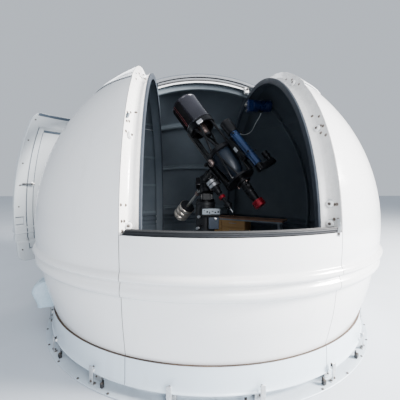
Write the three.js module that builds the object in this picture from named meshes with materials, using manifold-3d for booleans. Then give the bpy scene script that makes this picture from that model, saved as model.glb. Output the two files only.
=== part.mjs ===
// Home observatory dome, built from ground level up. Millimetres, +Z up.
// The origin is on the ground on the dome's axis, and the slit opens toward -Y.
import * as THREE from 'three';
import { mergeVertices } from 'three/addons/utils/BufferGeometryUtils.js';
import Module from 'manifold-3d';

const wasm = await Module();
wasm.setup();

// Driving dimensions
const GAP = 0.3;
const SPHERE_R = 1556;
const SPHERE_HALF_HEIGHT = 1532;
const SPHERE_Z = 880;
const CAP = { from: 1970, step: 15, rise: 5 };
const SKIN = 8;
const FACETS = 60;

const BASE_RING = { inner: 1395, outer: 1500, plate: 8, upstand: 50, wall: 8 };
const POST = { radius: 1480, thick: 6, width: 30, top: 125, step: 20, first: 6 };
const ROLLER_BLOCK = { inner: 1402, outer: 1440, width: 60, top: 59 - GAP };
const LOWER_RING = { bottom: 59, top: 218, flangeInner: 1392 };
const SKIRT_BOTTOM = LOWER_RING.top + GAP;
const BELT_TOP = 754;

const SLIT_HALF = 490;
const SEAM_X = 613;
const SILL_Z = 950;
const SLIT_REAR_ANGLE = 99;
const TRACK = { outer: SEAM_X, edge: 1427, ridge: 588, ridgeTop: 1370, shelf: 574, shelfTop: 1356 };
const RIM = { inner: SLIT_HALF + 30 + GAP, foot: 539, footTop: 1352, top: 1371, low: 1340 };
const CHANNEL = { inner: 505, outer: SLIT_HALF + 30, low: 1325, top: RIM.top };
const HOOP_FRONT_Z = SILL_Z + GAP;
const HOOP_REAR_Z = 762;
const RIM_FOOT_Z = { left: 440, right: HOOP_REAR_Z };

const REAR_STRIP = { radius: 1534, half: 518, side: 10, ribDepth: 66, ribAngles: [102, 128.6, 155.5, 179] };
const SHUTTER = { inner: 1590, outer: 1600, half: 625, front: 98, rear: 197.5, lip: 1564, lipHalf: 600 };
const SHUTTER_SHOES = { low: 1356.1, inner: 544, outer: 572, angles: [104, 141, 178] };
const SILL = { inner: 1500, outer: 1552, half: 586, thick: 24 };

const CABLE_RADIUS = 5;

const DOOR = { front: -86.5, rear: -118.5, bottom: 400, top: 1925, thick: 34, gap: 5, open: 36 };
const DOOR_HINGE = { azimuth: -120, radius: 1600, heights: [850, 1330] };
const LATCH = { azimuth: -93, z: 1225, length: 110, boss: 12 };

const PIER = { radius: 100, baseRadius: 190, basePlate: 20, top: 1040 };
const HEAD_Z = 1240;
const LATITUDE = 48;
const HOUR_ANGLE = 66;
const TUBE = {
  radius: 145, offset: 386, front: 754, frontEnd: 449, ring: 89, cell: 49, plate: -251, end: -273,
};
const WEIGHTS = { radius: 90, length: 65, stations: [440, 508, 576], shaftEnd: 660 };
const GUIDE = { radius: 40, offset: 242, front: 225, dew: 100, rear: -290, rings: [70, -150] };
const CAMERA = { front: -516, radius: 55, length: 70 };
const BENCH = { azimuth: 144, front: 1078, depth: 270, width: 1100, top: 750, board: 28 };

const rad = THREE.MathUtils.degToRad;
const towards = (azimuth) => new THREE.Vector2(Math.sin(rad(azimuth)), -Math.cos(rad(azimuth)));

// Finishes
const finish = (color, roughness, metalness = 0) =>
  new THREE.MeshStandardMaterial({ color, roughness, metalness });
const white = finish(0xf0f2f4, 0.25);
const liner = finish(0x2c3640, 0.7);
const channelGrey = finish(0x55647d, 0.5, 0.6);
const sillGrey = finish(0x74797e, 0.5, 0.3);
const galvanised = finish(0xb9bec2, 0.45, 0.8);
const rubberBlack = finish(0x15171a, 0.8);
const motorBlue = finish(0x1d2f52, 0.5, 0.4);
const hoodBlue = finish(0xa9bfcc, 0.4);
const doorGrey = finish(0xc6cccc, 0.4);
const mountBlack = finish(0x16181c, 0.45, 0.4);
const steel = finish(0xc8ccd0, 0.3, 0.9);
const guideBlue = finish(0x274a86, 0.35, 0.4);
const cameraRed = finish(0x9c2226, 0.4, 0.4);
const woodTop = finish(0x6d4d33, 0.6);
const woodDrawer = finish(0xc29a5c, 0.6);
const legGrey = finish(0x8d9296, 0.5, 0.4);
const pierGrey = finish(0x2a2d31, 0.5, 0.4);

// Closed bodies
function solid(geometry) {
  const bare = new THREE.BufferGeometry();
  bare.setAttribute('position', geometry.getAttribute('position'));
  if (geometry.index) bare.setIndex(geometry.index);
  const merged = mergeVertices(bare, 1e-3);
  const position = merged.getAttribute('position').array;
  const index = Uint32Array.from(merged.index.array);
  if (signedVolume(position, index) < 0) {
    for (let i = 0; i < index.length; i += 3) {
      [index[i + 1], index[i + 2]] = [index[i + 2], index[i + 1]];
    }
  }
  const mesh = new wasm.Mesh({ numProp: 3, vertProperties: position, triVerts: index });
  return new wasm.Manifold(mesh);
}

function signedVolume(position, index) {
  const corner = (i) => new THREE.Vector3().fromArray(position, index[i] * 3);
  let volume = 0;
  for (let i = 0; i < index.length; i += 3) {
    volume += corner(i).dot(corner(i + 1).cross(corner(i + 2)));
  }
  return volume;
}

function geometryOf(body) {
  const mesh = body.getMesh();
  const geometry = new THREE.BufferGeometry();
  geometry.setAttribute('position', new THREE.BufferAttribute(mesh.vertProperties, 3));
  geometry.setIndex(new THREE.BufferAttribute(mesh.triVerts, 1));
  geometry.computeVertexNormals();
  return geometry;
}

const dome = new THREE.Group();

function part(name, body, material) {
  const mesh = new THREE.Mesh(geometryOf(body), material);
  mesh.name = name;
  dome.add(mesh);
  return mesh;
}

const joined = (bodies) => bodies.reduce((sum, body) => sum.add(body));

// Shapes
function box(x0, x1, y0, y1, z0, z1) {
  const geometry = new THREE.BoxGeometry(x1 - x0, y1 - y0, z1 - z0);
  geometry.translate((x0 + x1) / 2, (y0 + y1) / 2, (z0 + z1) / 2);
  return solid(geometry);
}

function revolvedZ(profile, facets = FACETS) {
  const points = [...profile, profile[0]].map(([r, z]) => new THREE.Vector2(r, z));
  const geometry = new THREE.LatheGeometry(points, facets);
  geometry.rotateX(Math.PI / 2);
  return solid(geometry);
}

function revolvedX(profile, facets = 90) {
  const points = [...profile, profile[0]].map(([x, r]) => new THREE.Vector2(r, x));
  const geometry = new THREE.LatheGeometry(points, facets);
  geometry.rotateZ(-Math.PI / 2);
  geometry.translate(0, 0, SPHERE_Z);
  return solid(geometry);
}

// A vertical wedge between two azimuths, measured from the front toward +X
function wedge(from, to, z0 = -10, z1 = 3000, reach = 4000) {
  const shape = new THREE.Shape([new THREE.Vector2(0, 0)]);
  const steps = Math.ceil((to - from) / 30);
  for (let i = 0; i <= steps; i++) {
    const p = towards(from + ((to - from) * i) / steps).multiplyScalar(reach);
    shape.lineTo(p.x, p.y);
  }
  const geometry = new THREE.ExtrudeGeometry(shape, { depth: z1 - z0, bevelEnabled: false });
  geometry.translate(0, 0, z0);
  return solid(geometry);
}

// A wedge about the shutter's axis: 0 degrees is the front horizon, 90 the zenith
function arcWedge(from, to, half = 700, reach = 3000) {
  const shape = new THREE.Shape([new THREE.Vector2(0, 0)]);
  const steps = Math.ceil((to - from) / 30);
  for (let i = 0; i <= steps; i++) {
    const a = rad(from + ((to - from) * i) / steps);
    shape.lineTo(-Math.cos(a) * reach, Math.sin(a) * reach);
  }
  const geometry = new THREE.ExtrudeGeometry(shape, { depth: 2 * half, bevelEnabled: false });
  geometry.rotateX(Math.PI / 2);
  geometry.rotateZ(Math.PI / 2);
  geometry.translate(-half, 0, SPHERE_Z);
  return solid(geometry);
}

// A rod from one point to another
function rod(from, to, radius, facets = 16, radiusEnd = radius) {
  const span = new THREE.Vector3().subVectors(to, from);
  const geometry = new THREE.CylinderGeometry(radiusEnd, radius, span.length(), facets);
  geometry.translate(0, span.length() / 2, 0);
  geometry.applyQuaternion(new THREE.Quaternion().setFromUnitVectors(
    new THREE.Vector3(0, 1, 0), span.clone().normalize()));
  geometry.translate(from.x, from.y, from.z);
  return solid(geometry);
}

// Outer wall line, skirt and belt first, then the shell up to the crown
function wallOutside() {
  const line = [
    [1426, SKIRT_BOTTOM], [1452, 300], [1478, 390], [1498, 470], [1510, 550], [1524, 598],
    [1550, 614], [1560, 642], [1553, 670], [1538, 688],
    [1560, 700], [1574, 722], [1566, 743], [1551, BELT_TOP],
  ];
  line.push(...ellipse(SPHERE_R, SPHERE_HALF_HEIGHT, BELT_TOP + 60, CAP.from - 6, 7));
  line.push(...ellipse(SPHERE_R + CAP.step, SPHERE_HALF_HEIGHT + CAP.rise, CAP.from + 6, Infinity, 6));
  return line;
}

// Points on the shell's line between two heights; the cap above stands a little proud
function ellipse(radius, halfHeight, z0, z1, steps) {
  const angle = (z) => Math.asin(Math.min((z - SPHERE_Z) / halfHeight, 1));
  return Array.from({ length: steps + 1 }, (_, i) => {
    const a = angle(z0) + ((angle(z1) - angle(z0)) * i) / steps;
    return [a === Math.PI / 2 ? 0 : radius * Math.cos(a), SPHERE_Z + halfHeight * Math.sin(a)];
  });
}

// The wall between the outer line and a line set in by its thickness
function wall(thick) {
  const outside = wallOutside();
  const inside = outside.map(([r, z], i) => {
    if (r === 0) return [0, z - thick];
    const ribbed = z > 600 && z < BELT_TOP;
    const plain = ribbed ? Math.min(r, 1532 + (z - 600) * 0.1) : r;
    return [plain - thick * (z > 1500 ? 1.25 : 1), Math.max(z - (z > 1200 ? thick * 0.6 : 0), SKIRT_BOTTOM)];
  });
  return revolvedZ([...outside, ...inside.reverse()]);
}

const inFront = box(-SEAM_X, SEAM_X, -3000, 0, -10, 3000);
const behind = box(-SEAM_X, SEAM_X, 0, 3000, -10, 3000);
const onLeft = box(-3000, -SEAM_X - GAP, -3000, 3000, -10, 3000);
const onRight = box(SEAM_X + GAP, 3000, -3000, 3000, -10, 3000);
const above = (z) => box(-3000, 3000, -3000, 3000, z, 3000);
const below = (z) => box(-3000, 3000, -3000, 3000, -10, z);

// Base ring: a flat ring bolted down, its upstand, roller blocks and guide posts
function baseRing() {
  const { inner, outer, plate, upstand, wall: thick } = BASE_RING;
  const ring = revolvedZ([[inner, 0], [outer, 0], [outer, plate], [inner + thick, plate],
    [inner + thick, upstand], [inner, upstand]]);
  const segments = 3;
  const span = 360 / segments;
  for (let k = 0; k < segments; k++) {
    const start = POST.first - POST.step / 2 + k * span;
    let segment = ring.intersect(wedge(start, start + span - 0.012));
    for (let n = 0; n < span / POST.step; n++) {
      const azimuth = POST.first + k * span + n * POST.step;
      const turn = new THREE.Matrix4().makeRotationZ(rad(azimuth));
      const post = new THREE.BoxGeometry(POST.width, POST.thick, POST.top);
      post.translate(0, -POST.radius, POST.top / 2);
      segment = segment.add(solid(post.applyMatrix4(turn)));
      const { inner: r0, outer: r1, width, top } = ROLLER_BLOCK;
      const block = new THREE.BoxGeometry(width, r1 - r0, top - 2);
      block.translate(0, -(r0 + r1) / 2, (top + 2) / 2);
      segment = segment.add(solid(block.applyMatrix4(turn)));
    }
    part(`base_ring_${k + 1}`, segment, galvanised);
  }
}

// Lower ring: turns with the dome, a lip at its foot and a flange for the skirt to stand on
function lowerRing() {
  const { bottom, top, flangeInner } = LOWER_RING;
  const ring = revolvedZ([
    [flangeInner, bottom], [1455, bottom], [1452, bottom + 10], [1446, bottom + 40], [1443, 160], [1438, top],
    [flangeInner, top], [flangeInner, top - SKIN], [1430, top - SKIN], [1434, 160], [1436, bottom + SKIN],
    [flangeInner, bottom + SKIN]]);
  part('lower_ring_front', ring.intersect(inFront), white);
  part('lower_ring_rear', ring.intersect(behind), white);
  part('lower_ring_left', ring.intersect(onLeft), white);
  part('lower_ring_right', ring.intersect(onRight), white);
}

// Shell panels, with the doorway in the left side
function shellPanels() {
  const shell = wall(SKIN);
  part('front_panel', shell.intersect(inFront).intersect(below(SILL_Z)), white);
  part('rear_panel', shell.intersect(behind).intersect(below(HOOP_REAR_Z - GAP)), white);

  const right = shell.intersect(onRight);
  const rightSeam = 111;
  part('right_front_shell', right.intersect(wedge(0, rightSeam)), white);
  part('right_rear_shell', right.intersect(wedge(rightSeam + 0.012, 180)), white);

  const left = shell.intersect(onLeft);
  const slack = 0.2;
  const front = DOOR.front + slack;
  const rear = DOOR.rear - slack;
  part('left_front_shell', left.intersect(wedge(front + 0.012, 0)), white);
  part('left_rear_shell', left.intersect(wedge(-180, rear - 0.012)), white);
  const bay = left.intersect(wedge(rear, front));
  part('left_shell_over_door', bay.intersect(above(DOOR.top + DOOR.gap)), white);
  part('left_skirt_under_door', bay.intersect(below(DOOR.bottom - DOOR.gap)), white);
}

// Hoops beside the slit: a recessed track for the shutter's shoes, and a metal channel at its inner edge
function hoops() {
  for (const [side, name] of [[-1, 'left'], [1, 'right']]) {
    const at = (points) => points.map(([x, r]) => [side * x, r]);
    const upper = above(HOOP_REAR_Z).subtract(box(-3000, 3000, -3000, 0, -10, HOOP_FRONT_Z));
    const lower = box(-3000, 3000, 0, 3000, RIM_FOOT_Z[name], HOOP_REAR_Z + 1);
    const rim = [[RIM.foot, RIM.footTop], [RIM.inner, RIM.top], [RIM.inner, RIM.low]];
    const track = revolvedX(at([
      [TRACK.outer, RIM.low], [TRACK.outer, TRACK.edge], [TRACK.outer - 2, TRACK.edge],
      [TRACK.ridge, TRACK.ridgeTop], [TRACK.shelf, TRACK.shelfTop], ...rim]));
    const foot = revolvedX(at([[TRACK.outer, RIM.low], [TRACK.outer, TRACK.shelfTop], ...rim]));
    part(`${name}_hoop`, track.intersect(upper).add(foot.intersect(lower)), white);
    const channel = revolvedX(at([[CHANNEL.inner, CHANNEL.low], [CHANNEL.outer, CHANNEL.low],
      [CHANNEL.outer, CHANNEL.top], [CHANNEL.inner, CHANNEL.top]]));
    part(`${name}_channel`, channel.intersect(upper.add(lower)), channelGrey);
  }
}

// Sill along the top of the front panel
function sill() {
  const { inner, outer, half, thick } = SILL;
  const z = SILL_Z + GAP;
  const strip = revolvedZ([[inner, z], [outer, z], [outer, z + thick], [inner, z + thick]]);
  part('sill', strip.intersect(box(-half, half, -3000, 0, 0, 3000)), sillGrey);
}

// A spherical band between two hoop angles, described across the slit
function sphericalStrip(outerR, innerR, half, steps = 6) {
  const across = (r, x) => Math.sqrt(r * r - x * x);
  const xs = Array.from({ length: steps + 1 }, (_, i) => -half + (2 * half * i) / steps);
  const outside = xs.map((x) => [x, across(outerR, x)]);
  const inside = xs.map((x) => [x, across(innerR, x)]);
  return revolvedX([...outside, ...inside.reverse()]);
}

// Fixed strip behind the slit: its side walls stand on the channels, and ribs cross it inside
function rearStrip() {
  const { radius, half, side, ribDepth, ribAngles } = REAR_STRIP;
  const keep = above(HOOP_REAR_Z);
  const span = arcWedge(SLIT_REAR_ANGLE, 190).intersect(keep);
  const skin = sphericalStrip(radius, radius - SKIN, half).intersect(span);
  const walls = [-1, 1].map((s) => revolvedX([
    [s * (half - side), CHANNEL.top + GAP], [s * half, CHANNEL.top + GAP],
    [s * half, 1440], [s * (half - side), 1440]]).intersect(span));
  const deep = sphericalStrip(radius - 2, radius - ribDepth, half);
  const ribs = ribAngles.map((a) => deep.intersect(arcWedge(a - 0.4, a + 0.4)).intersect(keep));
  part('rear_strip', joined([skin, ...walls, ...ribs]), liner);
}

// Shutter: slides on the hoops about the shell's centre, with a lip turned in along its front edge
function shutter() {
  const { inner, outer, half, front, rear, lip, lipHalf } = SHUTTER;
  const leaf = sphericalStrip(outer, inner, half, 8).intersect(arcWedge(front, rear));
  const edge = sphericalStrip(outer - 2, lip, lipHalf, 8).intersect(arcWedge(front, front + 0.3));
  const shoes = SHUTTER_SHOES.angles.flatMap((a) => [-1, 1].map((side) => {
    const { low, inner: x0, outer: x1 } = SHUTTER_SHOES;
    const block = revolvedX([[side * x0, low], [side * x1, low], [side * x1, 1489], [side * x0, 1500]]);
    return block.intersect(arcWedge(a - 2, a + 2));
  }));
  part('shutter', joined([leaf, edge, ...shoes]), white);
}

// Drive that pulls the shutter, hung under the right channel
function shutterMotor() {
  const seat = revolvedX([[400, CHANNEL.low - 1], [700, CHANNEL.low - 1], [700, 1600], [400, 1600]]);
  const gearbox = box(494, 566, 160, 240, 2050, 2230).subtract(seat);
  const motor = rod(new THREE.Vector3(560, 200, 2120), new THREE.Vector3(775, 200, 2120), 66, 24);
  part('shutter_motor', gearbox.add(motor), motorBlue);
}

// Lead from the drive motor, clipped to the metal channel
function motorCable() {
  const route = [[660, 204, 2053.4], [659, 206, 2038], [648, 240, 2000], [634, 320, 1957], [634, 420, 1915],
    [632, 520, 1893], [616, 660, 1890], [592, 745, 1900], [556, 796, 1923], [529, 812, 1932]];
  const path = new THREE.CatmullRomCurve3(route.map((p) => new THREE.Vector3(...p)));
  const section = new THREE.Shape();
  section.absarc(0, 0, CABLE_RADIUS, 0, 2 * Math.PI, false);
  const geometry = new THREE.ExtrudeGeometry(section,
    { extrudePath: path, steps: 36, curveSegments: 4, bevelEnabled: false });
  part('motor_cable', solid(geometry), white);
}

// Vent hood on the left skirt, its mouth facing down
function ventHood() {
  const azimuth = -75;
  const cowl = (inset) => {
    const shape = new THREE.Shape();
    const reach = 150 - inset;
    shape.moveTo(0, 165 - (inset ? 10 : 0));
    shape.lineTo(reach, 165 - (inset ? 10 : 0));
    shape.lineTo(reach, 290);
    shape.absarc(reach - 100, 290, 100, 0, Math.PI / 2, false);
    shape.lineTo(0, 390 - inset);
    const geometry = new THREE.ExtrudeGeometry(shape,
      { depth: 190 - 2 * inset, bevelEnabled: false, curveSegments: 8 });
    geometry.translate(0, 0, -95 + inset);
    geometry.rotateX(Math.PI / 2);
    geometry.rotateZ(-Math.PI / 2);
    geometry.translate(0, -1465, 0);
    geometry.rotateZ(rad(azimuth));
    return solid(geometry);
  };
  const outside = cowl(0).subtract(wallOutsideSolid());
  part('vent_hood', outside.subtract(cowl(5)), hoodBlue);
}

function wallOutsideSolid() {
  const outside = wallOutside().map(([r, z]) => [r === 0 ? 0 : r + GAP, z]);
  const foot = revolvedZ([[0, 0], [1456, 0], [1456, SKIRT_BOTTOM + 1], [0, SKIRT_BOTTOM + 1]]);
  return revolvedZ([[0, SKIRT_BOTTOM], ...outside]).add(foot);
}

// Door: modelled closed, then swung open about its hinge
const hinge = towards(DOOR_HINGE.azimuth).multiplyScalar(DOOR_HINGE.radius);

function swing(body) {
  const geometry = geometryOf(body);
  geometry.translate(-hinge.x, -hinge.y, 0);
  geometry.rotateZ(rad(-DOOR.open));
  geometry.translate(hinge.x, hinge.y, 0);
  return solid(geometry);
}

function door() {
  const bay = wedge(DOOR.rear, DOOR.front - 0.1).intersect(above(DOOR.bottom)).intersect(below(DOOR.top));
  const panel = wall(DOOR.thick).intersect(bay);
  const hole = pillar(0, 3000, 8 + GAP);
  const leaves = DOOR_HINGE.heights.map((z) => {
    const skinR = shellRadius(z + 45);
    const strap = sector(skinR - 12, skinR + 8, DOOR.rear + 0.2, DOOR.rear + 7, z + 31, z + 60);
    const arm = sector(skinR - 12, DOOR_HINGE.radius + 8, DOOR.rear + 0.2, DOOR.rear + 1.2, z + 31, z + 60);
    const link = sector(DOOR_HINGE.radius - 8, DOOR_HINGE.radius + 8, DOOR_HINGE.azimuth, DOOR.rear + 1.2,
      z + 31, z + 60);
    return joined([strap, arm, link, pillar(z + 31, z + 60, 17)]).subtract(hole);
  });
  const inner = shellRadius(LATCH.z) - DOOR.thick;
  const out = towards(LATCH.azimuth);
  const at = (r) => new THREE.Vector3(out.x * r, out.y * r, LATCH.z);
  const boss = rod(at(inner + 10), at(inner - LATCH.boss), 22, 20);
  part('door_panel', swing(joined([panel, boss, ...leaves])), doorGrey);
  DOOR_HINGE.heights.forEach((z, k) => {
    const { azimuth, radius } = DOOR_HINGE;
    const bracket = sector(shellRadius(z) - 20, radius, azimuth - 0.5, azimuth + 0.5, z, z + 30)
      .subtract(wallOutsideSolid());
    const pin = pillar(z, z + 66, 8);
    part(`door_hinge_${k + 1}`, joined([bracket, pillar(z, z + 30, 17), pin]), galvanised);
  });

  const tangent = new THREE.Vector3(-out.y, out.x, 0);
  const lift = inner - LATCH.boss - 16;
  const grip = from(at(lift), [tangent, LATCH.length]);
  const lever = rod(at(inner - LATCH.boss - GAP), at(lift - 10), 14, 16).add(rod(at(lift), grip, 8, 12));
  part('door_latch', swing(lever), rubberBlack);
}

// The shell's outer radius at a height above the belt
function shellRadius(z) {
  return SPHERE_R * Math.sqrt(1 - ((z - SPHERE_Z) / SPHERE_HALF_HEIGHT) ** 2);
}

function sector(r0, r1, from0, to0, z0, z1) {
  return revolvedZ([[r0, z0], [r1, z0], [r1, z1], [r0, z1]], 180).intersect(wedge(from0, to0));
}

function pillar(z0, z1, radius) {
  return rod(new THREE.Vector3(hinge.x, hinge.y, z0), new THREE.Vector3(hinge.x, hinge.y, z1), radius, 20);
}

// Pier and equatorial mount
const head = new THREE.Vector3(0, 0, HEAD_Z);
const polar = new THREE.Vector3(0, Math.cos(rad(LATITUDE)), Math.sin(rad(LATITUDE)));
const across = new THREE.Vector3(1, 0, 0);
const upEquator = new THREE.Vector3().crossVectors(across, polar);
const declination = across.clone().multiplyScalar(Math.cos(rad(HOUR_ANGLE)))
  .addScaledVector(upEquator, Math.sin(rad(HOUR_ANGLE)));
const sight = new THREE.Vector3(-0.502, 0.393, 0.77).projectOnPlane(declination).normalize();
const sideways = new THREE.Vector3().crossVectors(sight, declination);

const from = (origin, ...steps) => steps.reduce(
  (p, [direction, length]) => p.addScaledVector(direction, length), origin.clone());

function pierAndMount() {
  const plate = rod(new THREE.Vector3(0, 0, 0), new THREE.Vector3(0, 0, PIER.basePlate), PIER.baseRadius, 32);
  const column = rod(new THREE.Vector3(0, 0, 10), new THREE.Vector3(0, 0, PIER.top), PIER.radius, 32);
  part('pier', plate.add(column), pierGrey);
  const foot = rod(new THREE.Vector3(0, 0, PIER.top + GAP), new THREE.Vector3(0, 0, PIER.top + 30), 95, 24);
  const block = box(-50, 50, -125, 15, PIER.top + 20, PIER.top + 100);
  const bearing = rod(from(head, [polar, -165]), from(head, [polar, -60 - GAP]), 70, 24);
  part('mount_base', joined([foot, block, bearing]), mountBlack);
  const raHousing = rod(from(head, [polar, -60]), from(head, [polar, 66]), 74, 24);
  const decBarrel = rod(from(head, [declination, -110]), from(head, [declination, 150]), 60, 24);
  part('mount_ra_head', raHousing.add(decBarrel), mountBlack);
}

function telescope() {
  const { radius, offset } = TUBE;
  const barThick = 28;
  const saddleAt = offset - radius - barThick - 2 * GAP;
  const centre = from(head, [declination, offset]);
  const along = (s) => from(centre, [sight, s]);
  const onShaft = (s) => from(head, [declination, -s]);
  const shaft = rod(onShaft(110 + GAP), onShaft(WEIGHTS.shaftEnd), 16, 16);
  const weights = WEIGHTS.stations.map(
    (s) => rod(onShaft(s), onShaft(s + WEIGHTS.length), WEIGHTS.radius, 24));
  part('counterweights', joined([shaft, ...weights]), steel);

  const neck = rod(from(head, [declination, 150 + GAP]), from(head, [declination, saddleAt]), 56, 20);
  part('saddle', neck, mountBlack);
  const sleeve = (s0, s1, outside, bore) => rod(along(s0), along(s1), outside, 24)
    .subtract(rod(along(s0 + 10), along(s1 - 10), bore, 24));
  part('telescope_front_tube', sleeve(TUBE.front, TUBE.frontEnd, radius, radius - 6), mountBlack);

  // Rods from the front tube to the middle ring, and shorter ones from there to the back plate
  const spoke = (degrees, r, s) => from(centre, [sight, s],
    [declination, r * Math.cos(rad(degrees))], [sideways, r * Math.sin(rad(degrees))]);
  const rods = [];
  for (let k = 0; k < 8; k++) {
    const lean = k % 2 === 0 ? 1 : -1;
    const middle = TUBE.ring - 20;
    rods.push(
      rod(spoke(45 * k + 4 * lean, 128, TUBE.frontEnd - 12), spoke(45 * k + 40 * lean, 128, middle), 10, 6));
    rods.push(rod(spoke(45 * k + 26 * lean, 131, middle), spoke(45 * k + 8 * lean, 131, TUBE.plate - 5), 9, 6));
  }
  const ring = sleeve(TUBE.ring, TUBE.cell, radius, 108);
  const endRing = sleeve(TUBE.frontEnd - GAP, TUBE.frontEnd - 18, radius - 6, 116);
  const plateFace = rod(along(TUBE.plate + GAP), along(TUBE.end), 200, 24);
  part('telescope_truss', joined([endRing, ring, ...rods]).subtract(plateFace), mountBlack);
  const cell = rod(along(TUBE.cell - GAP), along(TUBE.plate - 8), 118, 24, 60)
    .add(rod(along(TUBE.plate), along(TUBE.end), radius, 24));
  part('telescope_mirror_cell', cell, guideBlue);

  // Bar that joins the tube's rings to the saddle, and the rail that carries the guide telescope
  const bar = (side, s0, s1, lift, thick, width) => {
    const geometry = new THREE.BoxGeometry(width, s0 - s1, thick);
    geometry.translate(0, (s0 + s1) / 2, lift + thick / 2);
    const frame = new THREE.Matrix4().makeBasis(
      sideways.clone().multiplyScalar(side), sight, declination.clone().multiplyScalar(side));
    return solid(geometry.applyMatrix4(frame.setPosition(centre)));
  };
  part('dovetail_bar', bar(-1, TUBE.frontEnd + 60, TUBE.end, radius + GAP, barThick, 76), mountBlack);
  const guideAt = (s) => from(along(s), [declination, GUIDE.offset]);
  const guide = rod(guideAt(GUIDE.rear), guideAt(GUIDE.dew), GUIDE.radius, 20)
    .add(rod(guideAt(GUIDE.dew - 10), guideAt(GUIDE.front), GUIDE.radius + 10, 20))
    .add(rod(guideAt(GUIDE.rear - 60), guideAt(GUIDE.rear + 5), 30, 16));
  part('guide_telescope', guide, guideBlue);
  const rail = bar(1, TUBE.ring, TUBE.end, radius + GAP, 16, 60);
  const ringAt = (s) => rod(guideAt(s), guideAt(s - 24), GUIDE.radius + 16, 20).add(
    bar(1, s, s - 24, radius + 10, GUIDE.offset - radius - 20, 44));
  const carried = joined([rail, ...GUIDE.rings.map(ringAt)]);
  const guideWay = rod(guideAt(-600), guideAt(300), GUIDE.radius + GAP, 20);
  part('guide_bracket', carried.subtract(guideWay), mountBlack);

  // Focuser behind the back plate, with its flange, and the camera at its end
  const tail = TUBE.end - GAP;
  const focuser = joined([rod(along(tail), along(-302), 52, 20), rod(along(-300), along(-316), 75, 24),
    rod(along(-310), along(-425), 45, 20), rod(along(-420), along(CAMERA.front + GAP), 28, 16)]);
  part('focuser', focuser, mountBlack);
  part('camera', rod(along(CAMERA.front), along(CAMERA.front - CAMERA.length), CAMERA.radius, 20), cameraRed);
}

// Bench along the wall behind the pier: top, drawer unit and two legs
function bench() {
  const turn = new THREE.Matrix4().makeRotationZ(rad(BENCH.azimuth));
  const place = (x0, x1, y0, y1, z0, z1) => {
    const geometry = new THREE.BoxGeometry(x1 - x0, y1 - y0, z1 - z0);
    geometry.translate((x0 + x1) / 2, -(y0 + y1) / 2, (z0 + z1) / 2);
    return solid(geometry.applyMatrix4(turn));
  };
  const { front, depth, width, top, board } = BENCH;
  const half = width / 2;
  const under = top - board - GAP;
  part('bench_top', place(-half, half, front, front + depth, top - board, top), woodTop);
  part('bench_drawers', place(-30, half - 20, front + 10, front + depth - 20, under - 330, under), woodDrawer);
  part('bench_leg_far', place(-half + 30, -half + 70, front + 20, front + depth - 100, 0, under), legGrey);
  const nearTop = under - 330 - GAP;
  part('bench_leg_near', place(half - 90, half - 50, front + 20, front + depth - 100, 0, nearTop), legGrey);
}

baseRing();
lowerRing();
shellPanels();
hoops();
sill();
rearStrip();
shutter();
shutterMotor();
motorCable();
ventHood();
door();
pierAndMount();
telescope();
bench();

export default dome;
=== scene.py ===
from math import asin, cos, degrees, hypot, pi, radians, sin, sqrt

import bmesh
import bpy
from mathutils import Matrix, Vector


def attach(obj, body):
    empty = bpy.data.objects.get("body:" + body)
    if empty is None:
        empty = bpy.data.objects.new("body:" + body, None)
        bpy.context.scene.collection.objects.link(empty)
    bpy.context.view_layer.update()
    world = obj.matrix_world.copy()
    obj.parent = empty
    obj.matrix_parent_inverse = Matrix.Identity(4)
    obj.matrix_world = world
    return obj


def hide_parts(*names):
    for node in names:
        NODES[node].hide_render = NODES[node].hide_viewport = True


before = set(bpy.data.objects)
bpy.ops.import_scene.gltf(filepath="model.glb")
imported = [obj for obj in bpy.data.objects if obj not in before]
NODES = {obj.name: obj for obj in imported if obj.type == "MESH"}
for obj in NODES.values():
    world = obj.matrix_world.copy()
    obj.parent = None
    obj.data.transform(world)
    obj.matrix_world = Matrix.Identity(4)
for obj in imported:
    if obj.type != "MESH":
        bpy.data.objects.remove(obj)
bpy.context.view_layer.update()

# Shell geometry in metres, as in the part's source
CENTRE_Z = 0.88
SHELL = (1.556, 1.532)
CAP = (1.571, 1.537)
CAP_Z = 1.97
SEAM = 0.613
SILL_Z = 0.95
FOOT_Z = 0.2186
HOOP_REAR_Z = 0.762
HOOP_MEAN_R = 1.4
SKIN = 0.008
SLOTS = {}
SIDES = ((-1, "left"), (1, "right"))
GROUND = Matrix.Identity(4)
TINY = 1e-6


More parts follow.
